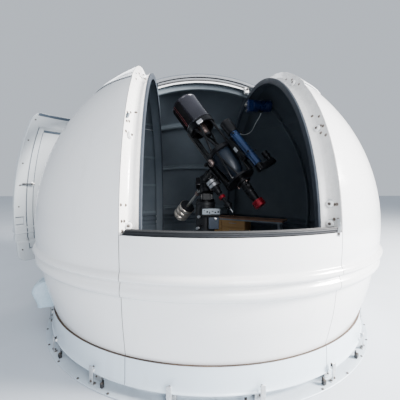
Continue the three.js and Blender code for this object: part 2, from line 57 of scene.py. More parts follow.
# Materials
class Nodes:
    """A material's node tree, with short names for the nodes that the materials share."""

    def __init__(self, name, slot=None):
        self.material = bpy.data.materials.new(name)
        self.material.use_nodes = True
        self.tree = self.material.node_tree
        self.place = self.add("TexCoord").outputs["Object"]
        SLOTS[self.material.name] = slot

    def fill(self, node, sockets):
        for key, value in sockets.items():
            socket = node.inputs[key]
            if isinstance(value, bpy.types.NodeSocket):
                self.tree.links.new(value, socket)
            elif isinstance(value, tuple) and socket.type == "RGBA":
                socket.default_value = (*value, 1)
            else:
                socket.default_value = value

    def add(self, kind, sockets=None, **values):
        node = self.tree.nodes.new("ShaderNode" + kind)
        for key, value in values.items():
            setattr(node, key, value)
        self.fill(node, sockets or {})
        return node

    def mapped(self, scale):
        return self.add("Mapping", {"Scale": scale, "Vector": self.place}).outputs["Vector"]

    def noise(self, scale, detail=4.0, rough=0.55, vector=None, distortion=0.0):
        return self.add("TexNoise", {"Scale": scale, "Detail": detail, "Roughness": rough, "Distortion": distortion,
                                     "Vector": vector or self.place}).outputs["Fac"]

    def spread(self, source, low, high, start=0.3, end=0.7):
        return self.add("MapRange", {"From Min": start, "From Max": end, "To Min": low, "To Max": high,
                                     "Value": source}).outputs["Result"]

    def mix(self, fac, a, b):
        return self.add("Mix", {0: fac, 6: a, 7: b}, data_type="RGBA").outputs[2]

    def bump(self, height, strength, distance, normal=None):
        sockets = {"Strength": strength, "Distance": distance, "Height": height}
        if normal:
            sockets["Normal"] = normal
        return self.add("Bump", sockets).outputs["Normal"]

    def finish(self, color, rough, **more):
        names = {"metal": "Metallic", "normal": "Normal", "coat": "Coat Weight", "coat_rough": "Coat Roughness",
                 "specular": "Specular IOR Level"}
        sockets = {"Base Color": color, "Roughness": rough} | {names[key]: value for key, value in more.items()}
        self.fill(self.tree.nodes["Principled BSDF"], sockets)
        return self.material


def dim(colour, share):
    return tuple(c * share for c in colour)


def gelcoat(name, slot, base, dark, rough=(0.12, 0.24), dirt=0.25, wave=0.14):
    """Moulded glass-fibre gel coat: long soft waves, fine orange peel, faint vertical run marks."""
    n = Nodes(name, slot)
    colour = n.mix(n.spread(n.noise(1.1, 5, 0.6), 0.0, 1.0), base, dim(base, 0.965))
    colour = n.mix(n.spread(n.noise(9.0, 4, 0.6, n.mapped((1, 1, 0.12))), 0.0, dirt, 0.58, 0.8), colour, dark)
    colour = n.mix(n.spread(n.noise(160, 2, 0.5), 0.0, 0.3, 0.74, 0.82), colour, dark)
    normal = n.bump(n.noise(420, 2, 0.5), 0.025, 0.0002, n.bump(n.noise(3.2, 2, 0.4), wave, 0.006))
    return n.finish(colour, n.spread(n.noise(26, 4, 0.6), *rough), normal=normal, coat=0.35, coat_rough=0.06)


def paint(name, slot, base, dark, rough=(0.3, 0.5), metal=0.0, grain=260, depth=0.15, coat=0.0, worn=None,
          specular=0.5):
    """Sprayed paint or moulded plastic, with worn spots where metal or primer shows."""
    n = Nodes(name, slot)
    colour = n.mix(n.spread(n.noise(6, 5, 0.6), 0.0, 1.0, 0.35, 0.7), base, dark)
    if worn:
        colour = n.mix(n.spread(n.noise(38, 6, 0.65), 0.0, 0.8, 0.68, 0.78), colour, worn)
    return n.finish(colour, n.spread(n.noise(45, 4, 0.6), *rough), metal=metal,
                    normal=n.bump(n.noise(grain, 3, 0.5), depth, 0.0006), coat=coat, specular=specular)


def brushed(name, slot, base, dark, direction=(1, 1, 14), rough=(0.22, 0.42)):
    """Rolled or turned metal: fine streaks in one direction and dull patches."""
    n = Nodes(name, slot)
    streak = n.noise(55, 6, 0.7, n.mapped(direction))
    colour = n.mix(n.spread(streak, 0.0, 1.0), base, dark)
    colour = n.mix(n.spread(n.noise(5, 5, 0.6), 0.0, 0.4, 0.5, 0.8), colour, dark)
    return n.finish(colour, n.spread(streak, *rough), metal=0.92, normal=n.bump(streak, 0.12, 0.0004))


def zinc(name, slot):
    """Hot-dip zinc: crystal patches, dull grey, with brown stains."""
    n = Nodes(name, slot)
    spangle = n.add("TexVoronoi", {"Scale": 34, "Vector": n.place}).outputs["Distance"]
    ramp = n.add("ValToRGB", {"Fac": spangle})
    elements = ramp.color_ramp.elements
    elements.new(0.5)
    greys = ((0.6, 0.62, 0.64), (0.5, 0.52, 0.54), (0.7, 0.72, 0.73))
    for element, place, colour in zip(elements, (0.0, 0.5, 1.0), greys):
        element.position, element.color = place, (*colour, 1)
    colour = n.mix(n.spread(n.noise(14, 5, 0.65), 0.0, 0.55, 0.6, 0.75), ramp.outputs["Color"], (0.33, 0.25, 0.18))
    return n.finish(colour, n.spread(n.noise(20, 4), 0.32, 0.6), metal=0.75, normal=n.bump(spangle, 0.1, 0.0006))


def timber(name, slot, base, dark, scale, axis):
    """Wood with long grain lines and pores."""
    n = Nodes(name, slot)
    grain = n.add("TexWave", {"Scale": scale, "Distortion": 7.0, "Detail": 3.0, "Detail Scale": 1.4,
                              "Vector": n.mapped(axis)}, wave_type="BANDS", bands_direction="Z").outputs["Fac"]
    pores = n.noise(90, 4, 0.7, n.mapped(tuple(4 / a if a > 1 else 1 for a in axis)))
    colour = n.mix(n.spread(grain, 0.0, 1.0, 0.1, 0.9), base, dark)
    colour = n.mix(n.spread(pores, 0.0, 0.6, 0.6, 0.75), colour, dim(dark, 0.5))
    return n.finish(colour, n.spread(pores, 0.35, 0.55), normal=n.bump(pores, 0.2, 0.0005), coat=0.15)


def liner(name, slot, base, dark):
    """Painted inside of the laminate: glass-mat texture under dark slate paint."""
    n = Nodes(name, slot)
    fibre = n.noise(75, 7, 0.75, distortion=1.5)
    colour = n.mix(n.spread(n.noise(2.4, 4, 0.6), 0.0, 1.0), base, dark)
    colour = n.mix(n.spread(fibre, 0.0, 0.35, 0.5, 0.75), colour, dim(base, 1.35))
    return n.finish(colour, n.spread(fibre, 0.42, 0.62), normal=n.bump(fibre, 0.35, 0.0012), specular=0.4)


WHITE = gelcoat("shell_white", "shell", (0.9, 0.905, 0.91), (0.68, 0.68, 0.66))
# Lower ring: the white gel coat tinted pale blue, a painted reflection of the blue deck with painted shade.
RING_PAINTED_DECK_REFLECTION = gelcoat("ring_white_painted_deck_reflection", "shell", (0.66, 0.76, 0.84), (0.5, 0.53, 0.54), dirt=0.3)
# Hoops and slit stop: the white gel coat tinted cream and a little darker, painted warm reflected light and painted
# shade.
HOOP_PAINTED_WARM_LIGHT = gelcoat("hoop_white_painted_warm_light", "shell", (0.88, 0.865, 0.845), (0.6, 0.56, 0.5), rough=(0.2, 0.36), dirt=0.3)
SLATE = liner("liner_slate", "liner", (0.092, 0.112, 0.132), (0.07, 0.088, 0.106))
# Ribs and flanges: the slate liner paint made lighter, painted light on the raised mouldings.
RIB_PAINTED_LIGHT = liner("liner_rib_painted_light", "liner", (0.125, 0.152, 0.172), (0.095, 0.118, 0.138))
CHANNEL = paint("channel_grey", "channel", (0.034, 0.044, 0.06), (0.024, 0.032, 0.044), (0.6, 0.75), 0.0)
SILL_ALU = brushed("sill_alloy", "sill", (0.036, 0.038, 0.041), (0.022, 0.023, 0.026), (1, 1, 12), (0.4, 0.6))
RUBBER = paint("rubber_black", "grip", (0.018, 0.019, 0.021), (0.032, 0.032, 0.034), (0.55, 0.75), depth=0.3)
SEALANT = paint("joint_sealant", "shell", (0.05, 0.034, 0.026), (0.1, 0.065, 0.045), (0.6, 0.85), depth=0.4,
    worn=(0.22, 0.13, 0.07))
# Dark grey copy of the white gel coat for the slit's coaming and the shutter's front lip and gasket: painted shade.
EDGE_PAINTED_SHADE = gelcoat("shutter_edge_painted_shade", "shell", (0.17, 0.18, 0.195), (0.12, 0.125, 0.135), (0.3, 0.45), dirt=0.3)
# Dark blue-grey for strips on the door's inner face and the shutter's outer front rim: painted shadow lines.
PAINTED_SHADOW_LINE = paint("door_painted_shadow_strip", "grip", (0.085, 0.11, 0.14), (0.06, 0.08, 0.105), (0.4, 0.6), depth=0.3)
SEAM_GREY = paint("seam_grey", "shell", (0.2, 0.2, 0.2), (0.09, 0.085, 0.08), (0.5, 0.8))
ZINC = zinc("zinc_steel", "galvanised")
PLATE = paint("base_plate_paint", "galvanised", (0.62, 0.7, 0.77), (0.52, 0.58, 0.64), (0.35, 0.5), 0.1, grain=60,
    worn=(0.42, 0.4, 0.37))
STEEL = brushed("turned_steel", "steel", (0.66, 0.64, 0.6), (0.4, 0.38, 0.35))
BOLT = brushed("bolt_steel", "steel", (0.26, 0.23, 0.21), (0.09, 0.075, 0.065), (3, 3, 3), (0.35, 0.6))
RUST = paint("rust_mark", "steel", (0.38, 0.27, 0.18), (0.55, 0.47, 0.38), (0.7, 0.9))
NYLON = paint("roller_nylon", "shell", (0.93, 0.93, 0.92), (0.82, 0.81, 0.79), (0.35, 0.5), depth=0.1)
MOTOR = paint("motor_blue", "motor", (0.014, 0.036, 0.15), (0.005, 0.014, 0.06), (0.22, 0.4), 0.35, depth=0.3,
    coat=0.4)
HOOD = gelcoat("hood_blue", "hood", (0.5, 0.64, 0.74), (0.38, 0.48, 0.56), (0.2, 0.35), dirt=0.3)
DOOR_GREY = gelcoat("door_inside", "door", (0.54, 0.575, 0.6), (0.36, 0.385, 0.405), (0.32, 0.48), dirt=0.35,
    wave=0.4)
BLACK = paint("instrument_black", "instrument_black", (0.004, 0.004, 0.005), (0.008, 0.008, 0.01), (0.25, 0.42), 0.2,
    depth=0.15, coat=0.1, worn=(0.045, 0.045, 0.05), specular=0.35)
TUBE = paint("tube_lacquer", "instrument_black", (0.018, 0.018, 0.025), (0.028, 0.027, 0.036), (0.14, 0.26), 0.45,
    grain=90, coat=0.5)
MATT_BLACK = paint("flocked_black", "instrument_black", (0.004, 0.004, 0.005), (0.008, 0.008, 0.009), (0.8, 0.95),
    grain=700, depth=0.4, specular=0.12)
BLUE = paint("anodised_blue", "instrument_blue", (0.02, 0.048, 0.13), (0.014, 0.034, 0.095), (0.14, 0.26), 0.6,
    coat=0.5)
CONE_BLUE = paint("mirror_box_blue", "instrument_blue", (0.01, 0.017, 0.03), (0.006, 0.011, 0.02), (0.36, 0.48), 0.1,
    coat=0.05, specular=0.4)
# Thin red lines on the telescope's front tube: a painted reflection.
RED_PAINTED_REFLECTION = paint("red_painted_reflection", "camera_red", (0.15, 0.01, 0.016), (0.1, 0.008, 0.012), (0.3, 0.45))
RED = paint("anodised_red", "camera_red", (0.42, 0.012, 0.03), (0.28, 0.008, 0.02), (0.2, 0.35), 0.55, coat=0.3)
PALE_METAL = brushed("pale_alloy", "steel", (0.74, 0.74, 0.75), (0.52, 0.52, 0.54), (2, 2, 9), (0.25, 0.45))
BRASSY = brushed("weight_steel", "steel", (0.86, 0.78, 0.69), (0.5, 0.43, 0.36), (2, 2, 6), (0.22, 0.4))
PANEL = paint("panel_pale", "steel", (0.36, 0.41, 0.45), (0.29, 0.33, 0.37), (0.3, 0.45), 0.2)
BLUE_GREY = paint("box_blue", "instrument_black", (0.045, 0.065, 0.1), (0.03, 0.045, 0.07), (0.35, 0.5))
DARK_BRONZE = brushed("baffle_bronze", "steel", (0.2, 0.15, 0.135), (0.1, 0.075, 0.07), (3, 3, 3), (0.3, 0.5))
BRONZE = brushed("weathered_clamp", "steel", (0.5, 0.38, 0.34), (0.3, 0.22, 0.2), (3, 3, 3), (0.3, 0.5))
PIER = paint("pier_black", "instrument_black", (0.008, 0.009, 0.011), (0.014, 0.015, 0.018), (0.35, 0.55), 0.1,
    worn=(0.07, 0.07, 0.08))
BOARD = timber("bench_board", "bench_board", (0.42, 0.21, 0.12), (0.26, 0.13, 0.075), 4.0, (1, 1, 22))
DRAWER = timber("drawer_front", "drawer_wood", (0.62, 0.36, 0.13), (0.47, 0.25, 0.085), 5.0, (1, 1, 9))
LEG = paint("leg_grey", "leg", (0.3, 0.33, 0.36), (0.22, 0.24, 0.27), (0.35, 0.5), 0.3)
LEAD = paint("lead_white", "lead", (0.7, 0.71, 0.71), (0.52, 0.52, 0.52), (0.4, 0.6))
GLASS = paint("lens_glass", "instrument_blue", (0.01, 0.014, 0.03), (0.02, 0.012, 0.03), (0.03, 0.08), coat=1.0)


# Mesh tools
def V(*c):
    return Vector(c)


def mm(*values):
    """Pairs of metres from a run of millimetres."""
    return [(a / 1000, b / 1000) for a, b in zip(values[::2], values[1::2])]


def spread(a, b, count):
    """Values from a to b in a number of even steps."""
    return [a + (b - a) * k / count for k in range(count + 1)]


class Body:
    """Makes the pieces that ride on one body. The slot is worked out but not used."""

    def __init__(self, name):
        self.name = name

    def mesh(self, name, verts, faces, materials, indices=None, angle=32, bevel=None, replaces=(), slot=None):
        materials = materials if isinstance(materials, list) else [materials]
        mesh = bpy.data.meshes.new(name)
        mesh.from_pydata([tuple(v) for v in verts], [], faces)
        for material in materials:
            mesh.materials.append(material)
        if indices:
            mesh.polygons.foreach_set("material_index", indices)
        bm = bmesh.new()
        bm.from_mesh(mesh)
        bmesh.ops.recalc_face_normals(bm, faces=bm.faces)
        bm.to_mesh(mesh)
        bm.free()
        mesh.shade_smooth()
        mesh.set_sharp_from_angle(angle=radians(angle))
        obj = bpy.data.objects.new(name, mesh)
        bpy.context.scene.collection.objects.link(obj)
        if bevel:
            mod = obj.modifiers.new("edges", "BEVEL")
            mod.width, mod.segments, mod.limit_method, mod.angle_limit = bevel, 2, "ANGLE", radians(40)
            mod.harden_normals = False
        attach(obj, self.name)
        slot or SLOTS[materials[0].name]
        if replaces:
            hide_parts(*([replaces] if isinstance(replaces, str) else replaces))
        return obj

    def thick(self, name, grids, materials, **options):
        """A closed skin from grids of (outer point, inner point) pairs that meet at shared points."""
        index, outer, inner, faces = {}, [], [], []

        def number(pair):
            key = tuple(round(c, 5) for c in pair[0])
            if key not in index:
                index[key] = len(outer)
                outer.append(pair[0])
                inner.append(pair[1])
            return index[key]

        for grid in grids:
            ids = [[number(pair) for pair in row] for row in grid]
            for a, b in zip(ids, ids[1:]):
                for i in range(len(a) - 1):
                    loop = [a[i], a[i + 1], b[i + 1], b[i]]
                    loop = [v for k, v in enumerate(loop) if v != loop[k - 1]]
                    if len(loop) >= 3 and len(set(loop)) == len(loop):
                        faces.append(loop)
        n = len(outer)
        edges = {(v, face[(k + 1) % len(face)]): None for face in faces for k, v in enumerate(face)}
        walls = [(b, a, a + n, b + n) for a, b in edges if (b, a) not in edges]
        indices = [0] * len(faces) + [1] * len(faces) + [2] * len(walls)
        faces = faces + [[v + n for v in reversed(face)] for face in faces] + walls
        materials = materials if isinstance(materials, list) else [materials] * 3
        return self.mesh(name, outer + inner, faces, materials, indices, **options)

    def box(self, name, lo, hi, material, matrix=None, bevel=0.002, **options):
        verts = [V(x, y, z) for x in (lo[0], hi[0]) for y in (lo[1], hi[1]) for z in (lo[2], hi[2])]
        if matrix is not None:
            verts = [matrix @ v for v in verts]
        faces = [(0, 1, 3, 2), (4, 6, 7, 5), (0, 4, 5, 1), (2, 3, 7, 6), (0, 2, 6, 4), (1, 5, 7, 3)]
        return self.mesh(name, verts, faces, material, bevel=bevel, **options)

    def turned(self, name, origin, axis, profile, material, segments=32, closed=False, **options):
        return self.mesh(name, *turned_mesh(basis(origin, axis), profile, segments, closed), material, **options)

    def tube(self, name, points, radius, material, **options):
        """A round rod, lead or bead along points, as a mesh."""
        curve = bpy.data.curves.new(name + "_path", "CURVE")
        curve.dimensions = "3D"
        curve.bevel_depth, curve.bevel_resolution, curve.use_fill_caps = radius, 3, True
        spline = curve.splines.new("NURBS")
        spline.points.add(len(points) - 1)
        for point, place in zip(spline.points, points):
            point.co = (*place, 1)
        spline.use_endpoint_u, spline.order_u, spline.resolution_u = True, 3, 6
        temp = bpy.data.objects.new(name + "_path", curve)
        bpy.context.scene.collection.objects.link(temp)
        bpy.context.view_layer.update()
        mesh = bpy.data.meshes.new_from_object(temp.evaluated_get(bpy.context.evaluated_depsgraph_get()))
        bm = bmesh.new()
        made = [bm.verts.new(v.co) for v in mesh.vertices]
        for polygon in mesh.polygons:
            bm.faces.new([made[i] for i in polygon.vertices])
        bmesh.ops.remove_doubles(bm, verts=bm.verts, dist=1e-6)
        bm.verts.index_update()
        verts = [v.co.copy() for v in bm.verts]
        faces = [tuple(v.index for v in f.verts) for f in bm.faces]
        bm.free()
        bpy.data.objects.remove(temp)
        bpy.data.curves.remove(curve)
        bpy.data.meshes.remove(mesh)
        return self.mesh(name, verts, faces, material, angle=50, **options)

    def gather(self, name, bodies, material, **options):
        """Several closed bodies in one piece."""
        verts, faces = [], []
        for v, f in bodies:
            start = len(verts)
            verts += v
            faces += [tuple(i + start for i in face) for face in f]
        return self.mesh(name, verts, faces, material, **options)

    def sweep(self, name, section, materials, ends, steps=90, marks=None, **options):
        """A closed section of (x, radius) swept about the shutter's axis; ends(radius) gives its two angles.
        The section may be a function of the angle."""
        verts = []
        for k in range(steps + 1):
            a, b = ends(HOOP_MEAN_R)
            ring = section(a + (b - a) * k / steps) if callable(section) else section
            for x, rho in ring:
                a, b = ends(rho)
                verts.append(hoop_point(x, rho, a + (b - a) * k / steps))
        indices = (marks or [0] * len(ring)) * steps + [0, 0]
        return self.mesh(name, verts, ring_faces(len(ring), steps), materials, indices, **options)


base, dome, shutter, door, latch, ra_axis, scope = (
    Body(name) for name in ("base", "dome", "shutter", "door", "latch", "ra_axis", "dec_axis"))


def basis(origin, axis, side=None):
    """A matrix whose Z runs along axis from origin."""
    z = Vector(axis).normalized()
    hint = Vector(side) if side else V(0, 0, 1) if abs(z.z) < 0.9 else V(1, 0, 0)
    x = (hint - z * hint.dot(z)).normalized()
    y = z.cross(x)
    matrix = Matrix((x, y, z)).transposed().to_4x4()
    matrix.translation = Vector(origin)
    return matrix


def turned_mesh(matrix, profile, segments=32, closed=False):
    """Vertices and faces of a body turned from (distance along, radius), with its ends on the axis unless closed."""
    if profile[0][1] and not closed:
        profile = [(profile[0][0], 0), *profile, (profile[-1][0], 0)]
    verts, faces, rings = [], [], []
    for s, r in profile:
        turns = [2 * pi * k / segments for k in range(segments if r > 1e-7 else 1)]
        rings.append(range(len(verts), len(verts) + len(turns)))
        verts += [matrix @ V(r * cos(a), r * sin(a), s) for a in turns]
    for a, b in zip(rings, [*rings[1:], rings[0]] if closed else rings[1:]):
        for k in range(segments if len(a) + len(b) > 2 else 0):
            j = (k + 1) % segments
            loop = (a[k % len(a)], b[k % len(b)], b[j % len(b)], a[j % len(a)])
            faces.append(tuple(dict.fromkeys(loop)))
    return verts, faces


def rounded(length, radius, edge=0.002, start=0.0):
    """The profile of a plain round body with rounded ends."""
    e = min(edge, radius * 0.5, length * 0.3)
    return [(start, 0), (start, radius - e), (start + e * 0.3, radius - e * 0.3), (start + e, radius),
        (start + length - e, radius), (start + length - e * 0.3, radius - e * 0.3), (start + length, radius - e),
        (start + length, 0)]


def catmull(points, steps):
    """A smooth line through the points, with some steps between each two."""
    out = []
    ends = [points[0], *points, points[-1]]
    for i in range(1, len(ends) - 2):
        for t in (k / steps for k in range(steps)):
            out.append(tuple(
                0.5 * (2 * b + (c - a) * t + (2 * a - 5 * b + 4 * c - d) * t * t + (3 * b - a - 3 * c + d) * t ** 3)
                for a, b, c, d in zip(*ends[i - 1:i + 3])))
    return [*out, tuple(points[-1])]


# Shell line
def ellipse_r(z, shape):
    return shape[0] * sqrt(max(0.0, 1 - ((z - CENTRE_Z) / shape[1]) ** 2))


def ellipse_z(r, shape):
    return CENTRE_Z + shape[1] * sqrt(max(0.0, 1 - (r / shape[0]) ** 2))


BELT = [(1.426, FOOT_Z), (1.439, 0.258), (1.452, 0.3), (1.465, 0.344), (1.478, 0.39), (1.489, 0.43), (1.498, 0.47),
    (1.505, 0.51), (1.51, 0.55), (1.513, 0.58), (1.5165, 0.6), (1.527, 0.609), (1.5455, 0.62), (1.557, 0.636),
    (1.56, 0.65), (1.556, 0.668), (1.545, 0.682), (1.5385, 0.69), (1.538, 0.697), (1.545, 0.704), (1.562, 0.709),
    (1.5715, 0.718), (1.5735, 0.727), (1.569, 0.74), (1.56, 0.75), (1.553, 0.757), (1.5515, 0.766), (1.5525, 0.79),
    (1.5546, 0.814)]


def shell_line():
    rows = catmull(BELT, 3)
    a0, a1 = (asin((z - CENTRE_Z) / SHELL[1]) for z in (0.83, CAP_Z - 0.004))
    for k in range(31):
        a = a0 + (a1 - a0) * k / 30
        rows.append((SHELL[0] * cos(a), CENTRE_Z + SHELL[1] * sin(a)))
    r = rows[-1][0]
    rows += [(r + 0.003, CAP_Z - 0.0034), (r + 0.0095, CAP_Z - 0.003), (r + 0.0118, CAP_Z - 0.0006)]
    y0 = sqrt(ellipse_r(CAP_Z + 0.003, CAP) ** 2 - SEAM ** 2)
    for k in range(27):
        y = y0 * (1 - k / 26)
        r = sqrt(y * y + SEAM * SEAM)
        rows.append((r, ellipse_z(r, CAP)))
    return rows


ROWS = shell_line()


def inner_line(rows, thickness):
    """The line set in by a thickness, smoothed where the outer line turns sharply."""
    out = []
    for i, (r, z) in enumerate(rows):
        a, b = rows[max(0, i - 4)], rows[min(len(rows) - 1, i + 4)]
        tr, tz = b[0] - a[0], b[1] - a[1]
        length = hypot(tr, tz)
        out.append((r - tz / length * thickness, max(z + tr / length * thickness, FOOT_Z)))
    return out


def polar(r, z, azimuth):
    a = radians(azimuth)
    return V(r * sin(a), -r * cos(a), z)


def shell_grid(rows, inner, spans, count):
    """Points between two azimuths that may depend on the radius, for each row of the shell line."""
    grid = []
    for (r, z), (ri, zi) in zip(rows, inner):
        pairs = []
        for k in range(count + 1):
            t = k / count
            ends = [spans(radius) for radius in (r, ri)]
            pairs.append((polar(r, z, ends[0][0] + (ends[0][1] - ends[0][0]) * t),
                polar(ri, zi, ends[1][0] + (ends[1][1] - ends[1][0]) * t)))
        grid.append(pairs)
    return grid


def plane_azimuth(r, x):
    return degrees(asin(min(1.0, x / r)))


SEAM_GAP = 0.0018
INNER_ROWS = inner_line(ROWS, SKIN)
WALL = list(zip(ROWS, INNER_ROWS))
SHELL_MATERIALS = [WHITE, SLATE, SEAM_GREY]


def blend(a, b, t):
    return tuple(p + (q - p) * t for p, q in zip(a, b))


def cut(top):
    """The wall's rows up to a height, with a row exactly on it."""
    kept = [pair for pair in WALL if pair[0][1] < top - 1e-5]
    for (a, ai), (b, bi) in zip(WALL, WALL[1:]):
        if a[1] <= top <= b[1]:
            t = (top - a[1]) / (b[1] - a[1])
            kept.append((blend(a, b, t), blend(ai, bi, t)))
            break
    return [a for a, _ in kept], [(r, min(max(z, FOOT_Z), top)) for _, (r, z) in kept]


# Front and rear panels between the two seams
def middle_panel(name, node, z1, centre):
    rows, inner = cut(z1)
    spans = lambda r: (centre - plane_azimuth(r, SEAM - SEAM_GAP), centre + plane_azimuth(r, SEAM - SEAM_GAP))
    return dome.thick(name, [shell_grid(rows, inner, spans, 30)], SHELL_MATERIALS, replaces=node)


middle_panel("front_panel_skin", "front_panel", SILL_Z, 0)
middle_panel("rear_panel_skin", "rear_panel", HOOP_REAR_Z - 0.0003, 180)


# Right side, in two panels that meet at an inside flange
SIDE_SEAM = 111.0
SEAM_DEG = 0.07


def side_ends(r):
    a = plane_azimuth(r, SEAM + SEAM_GAP)
    return (a, 180 - a)


def clamp(value, r):
    a, b = side_ends(r)
    return min(max(value, a), b)


for tag, spans, count in (("front", lambda r: (side_ends(r)[0], clamp(SIDE_SEAM - SEAM_DEG, r)), 44),
                          ("rear", lambda r: (clamp(SIDE_SEAM + SEAM_DEG, r), side_ends(r)[1]), 30)):
    dome.thick(f"right_{tag}_skin", [shell_grid(ROWS, INNER_ROWS, spans, count)], SHELL_MATERIALS,
        replaces=f"right_{tag}_shell")


# Left side, with the doorway between the front and rear panels
DOOR = {"front": -86.5, "rear": -118.5, "bottom": 0.4, "top": 1.925, "corner": 0.075, "slack": 0.005}
DOOR_MID = (DOOR["front"] + DOOR["rear"]) / 2
DOOR_HALF = (DOOR["front"] - DOOR["rear"]) / 2
DOORWAY = (DOOR["bottom"] - DOOR["slack"], DOOR["top"] + DOOR["slack"])
MEAN_R = 1.5


def corner_inset(z, bottom, top, corner):
    """How far, in metres, a rounded rectangle's side has moved in at height z."""
    depth = max(bottom + corner - z, z - (top - corner), 0)
    return corner - sqrt(max(0.0, corner * corner - depth * depth))


def door_edge(z, grow):
    """The azimuth half-width of the doorway or door at height z."""
    half = DOOR_HALF + degrees(grow / MEAN_R)
    zz = min(max(z, DOORWAY[0]), DOORWAY[1])
    return half - degrees(corner_inset(zz, *DOORWAY, DOOR["corner"]) / MEAN_R)


def left_rows():
    """The wall's rows, with more where the doorway's corners are round."""
    steps = [DOOR["corner"] * (1 - cos(radians(a))) for a in range(0, 91, 15)]
    heights = sorted({DOORWAY[0] + s for s in steps} | {DOORWAY[1] - s for s in steps})
    kept = []
    for (a, ai), (b, bi) in zip(WALL, WALL[1:]):
        kept.append((a, ai))
        for z in heights:
            if a[1] + 1e-4 < z < b[1] - 1e-4:
                t = (z - a[1]) / (b[1] - a[1])
                kept.append((blend(a, b, t), blend(ai, bi, t)))
    return zip(*kept, WALL[-1])


def left_side():
    rows, inner = left_rows()

    def strip(indices, ends, count):
        grid = []
        for i in indices:
            (r, z), (ri, zi) = rows[i], inner[i]
            turns = zip(spread(*ends(r, z), count), spread(*ends(ri, z), count))
            grid.append([(polar(r, z, a), polar(ri, zi, b)) for a, b in turns])
        return grid

    every = range(len(rows))
    low = [i for i in every if rows[i][1] <= DOORWAY[0] + 0.0001]
    high = [i for i in every if rows[i][1] >= DOORWAY[1] - 0.0001]
    keep = lambda r, v: -clamp(-v, r)
    front = strip(every, lambda r, z: (-side_ends(r)[0], keep(r, DOOR_MID + door_edge(z, 0.003))), 30)
    rear = strip(every, lambda r, z: (keep(r, DOOR_MID - door_edge(z, 0.003)), -side_ends(r)[1]), 18)
    parts = {"front": [front], "rear": [rear]}
    beside = {"front": lambda r, z: (keep(r, DOOR_MID + door_edge(z, 0.003)), keep(r, SEAM_DEG - SIDE_SEAM)),
              "rear": lambda r, z: (keep(r, -SEAM_DEG - SIDE_SEAM), keep(r, DOOR_MID - door_edge(z, 0.003)))}
    for block in (low, high):
        for side, ends in beside.items():
            parts[side].append(strip(block, ends, 16))
    for side, also in (("front", "left_shell_over_door"), ("rear", "left_skirt_under_door")):
        dome.thick(f"left_{side}_skin", parts[side], SHELL_MATERIALS, replaces=[f"left_{side}_shell", also])


left_side()


# Sealant seen in the seams, and the flanges inside
def seam_strip(name, spans, z0, z1, out=-0.0032, deep=-0.0075, count=1, material=SEALANT):
    shift = lambda d: inner_line(ROWS, -d)
    outer, inner = shift(out), shift(deep)
    keep = [i for i, row in enumerate(ROWS) if z0 <= row[1] <= z1]
    grid = shell_grid([outer[i] for i in keep], [inner[i] for i in keep], spans, count)
    return dome.thick(name, [grid], material, slot="shell")


for side, tag in SIDES:
    seam_strip(f"seam_front_{tag}", lambda r, s=side: (s * plane_azimuth(r, 0.607), s * plane_azimuth(r, 0.619)),
        FOOT_Z + 0.001, SILL_Z)
    seam_strip(f"seam_rear_{tag}", lambda r, s=side: (180 - s * plane_azimuth(r, 0.607),
        180 - s * plane_azimuth(r, 0.619)), FOOT_Z + 0.001, HOOP_REAR_Z)
seam_strip("seam_right", lambda r: (clamp(SIDE_SEAM - 0.25, r), clamp(SIDE_SEAM + 0.25, r)), FOOT_Z + 0.001, 2.26)
seam_strip("seam_left_low", lambda r: (-SIDE_SEAM - 0.25, -SIDE_SEAM + 0.25), FOOT_Z + 0.001, DOORWAY[0] - 0.004)
seam_strip("seam_left_high", lambda r: (-clamp(SIDE_SEAM - 0.25, r), -clamp(SIDE_SEAM + 0.25, r)), DOORWAY[1] + 0.006,
    2.26)


def flange(name, azimuth, width, depth, z0, z1):
    """A moulded joint flange standing in from the shell at one azimuth."""
    rows, inner = inner_line(ROWS, SKIN - 0.001), inner_line(ROWS, SKIN + depth)
    keep = [i for i, row in enumerate(ROWS) if z0 <= row[1] <= z1]
    sign = 1 if azimuth > 0 else -1

    def spans(r):
        return tuple(sign * clamp(abs(azimuth) + s * degrees(width / 2 / r), r) for s in (-1, 1))

    grid = shell_grid([rows[i] for i in keep], [inner[i] for i in keep], spans, 2)
    return dome.thick(name, [grid], RIB_PAINTED_LIGHT, bevel=0.002)


flange("flange_right", SIDE_SEAM, 0.022, 0.038, FOOT_Z + 0.02, 2.2)
flange("flange_left_high", -SIDE_SEAM, 0.022, 0.038, DOORWAY[1] + 0.03, 2.2)
flange("flange_left_low", -SIDE_SEAM, 0.022, 0.038, FOOT_Z + 0.02, DOORWAY[0] - 0.02)


# Ring flange inside, where the cap starts
def ring_flange(name, a0, a1, z, height, depth, material=RIB_PAINTED_LIGHT):
    line = [(ellipse_r(z + dz, SHELL) - SKIN + 0.001, z + dz) for dz in (-height / 2, height / 2)]
    grid = []
    count = max(4, int(abs(a1 - a0) / 3))
    for r, zz in line:
        grid.append([(polar(r, zz, a), polar(r - depth, zz, a)) for a in spread(a0, a1, count)])
    return dome.thick(name, [grid], material, bevel=0.0015, slot="liner")


ring_flange("cap_flange_right", 36, 144, 1.984, 0.05, 0.012, SLATE)
ring_flange("cap_flange_left", -36, -144, 2.015, 0.016, 0.022)
for k, z in enumerate((1.62, 1.22, 0.8)):
    ring_flange(f"side_rib_left_front_{k}", -26, -82, z, 0.03, 0.014)
    ring_flange(f"side_rib_left_rear_{k}", -123, -156, z, 0.03, 0.014)
    if k:
        ring_flange(f"side_rib_right_{k}", 26, 108, z, 0.012, 0.005, SLATE)


# Sweeps about the shutter's axis
def hoop_point(x, rho, phi):
    return V(x, -rho * cos(phi), CENTRE_Z + rho * sin(phi))


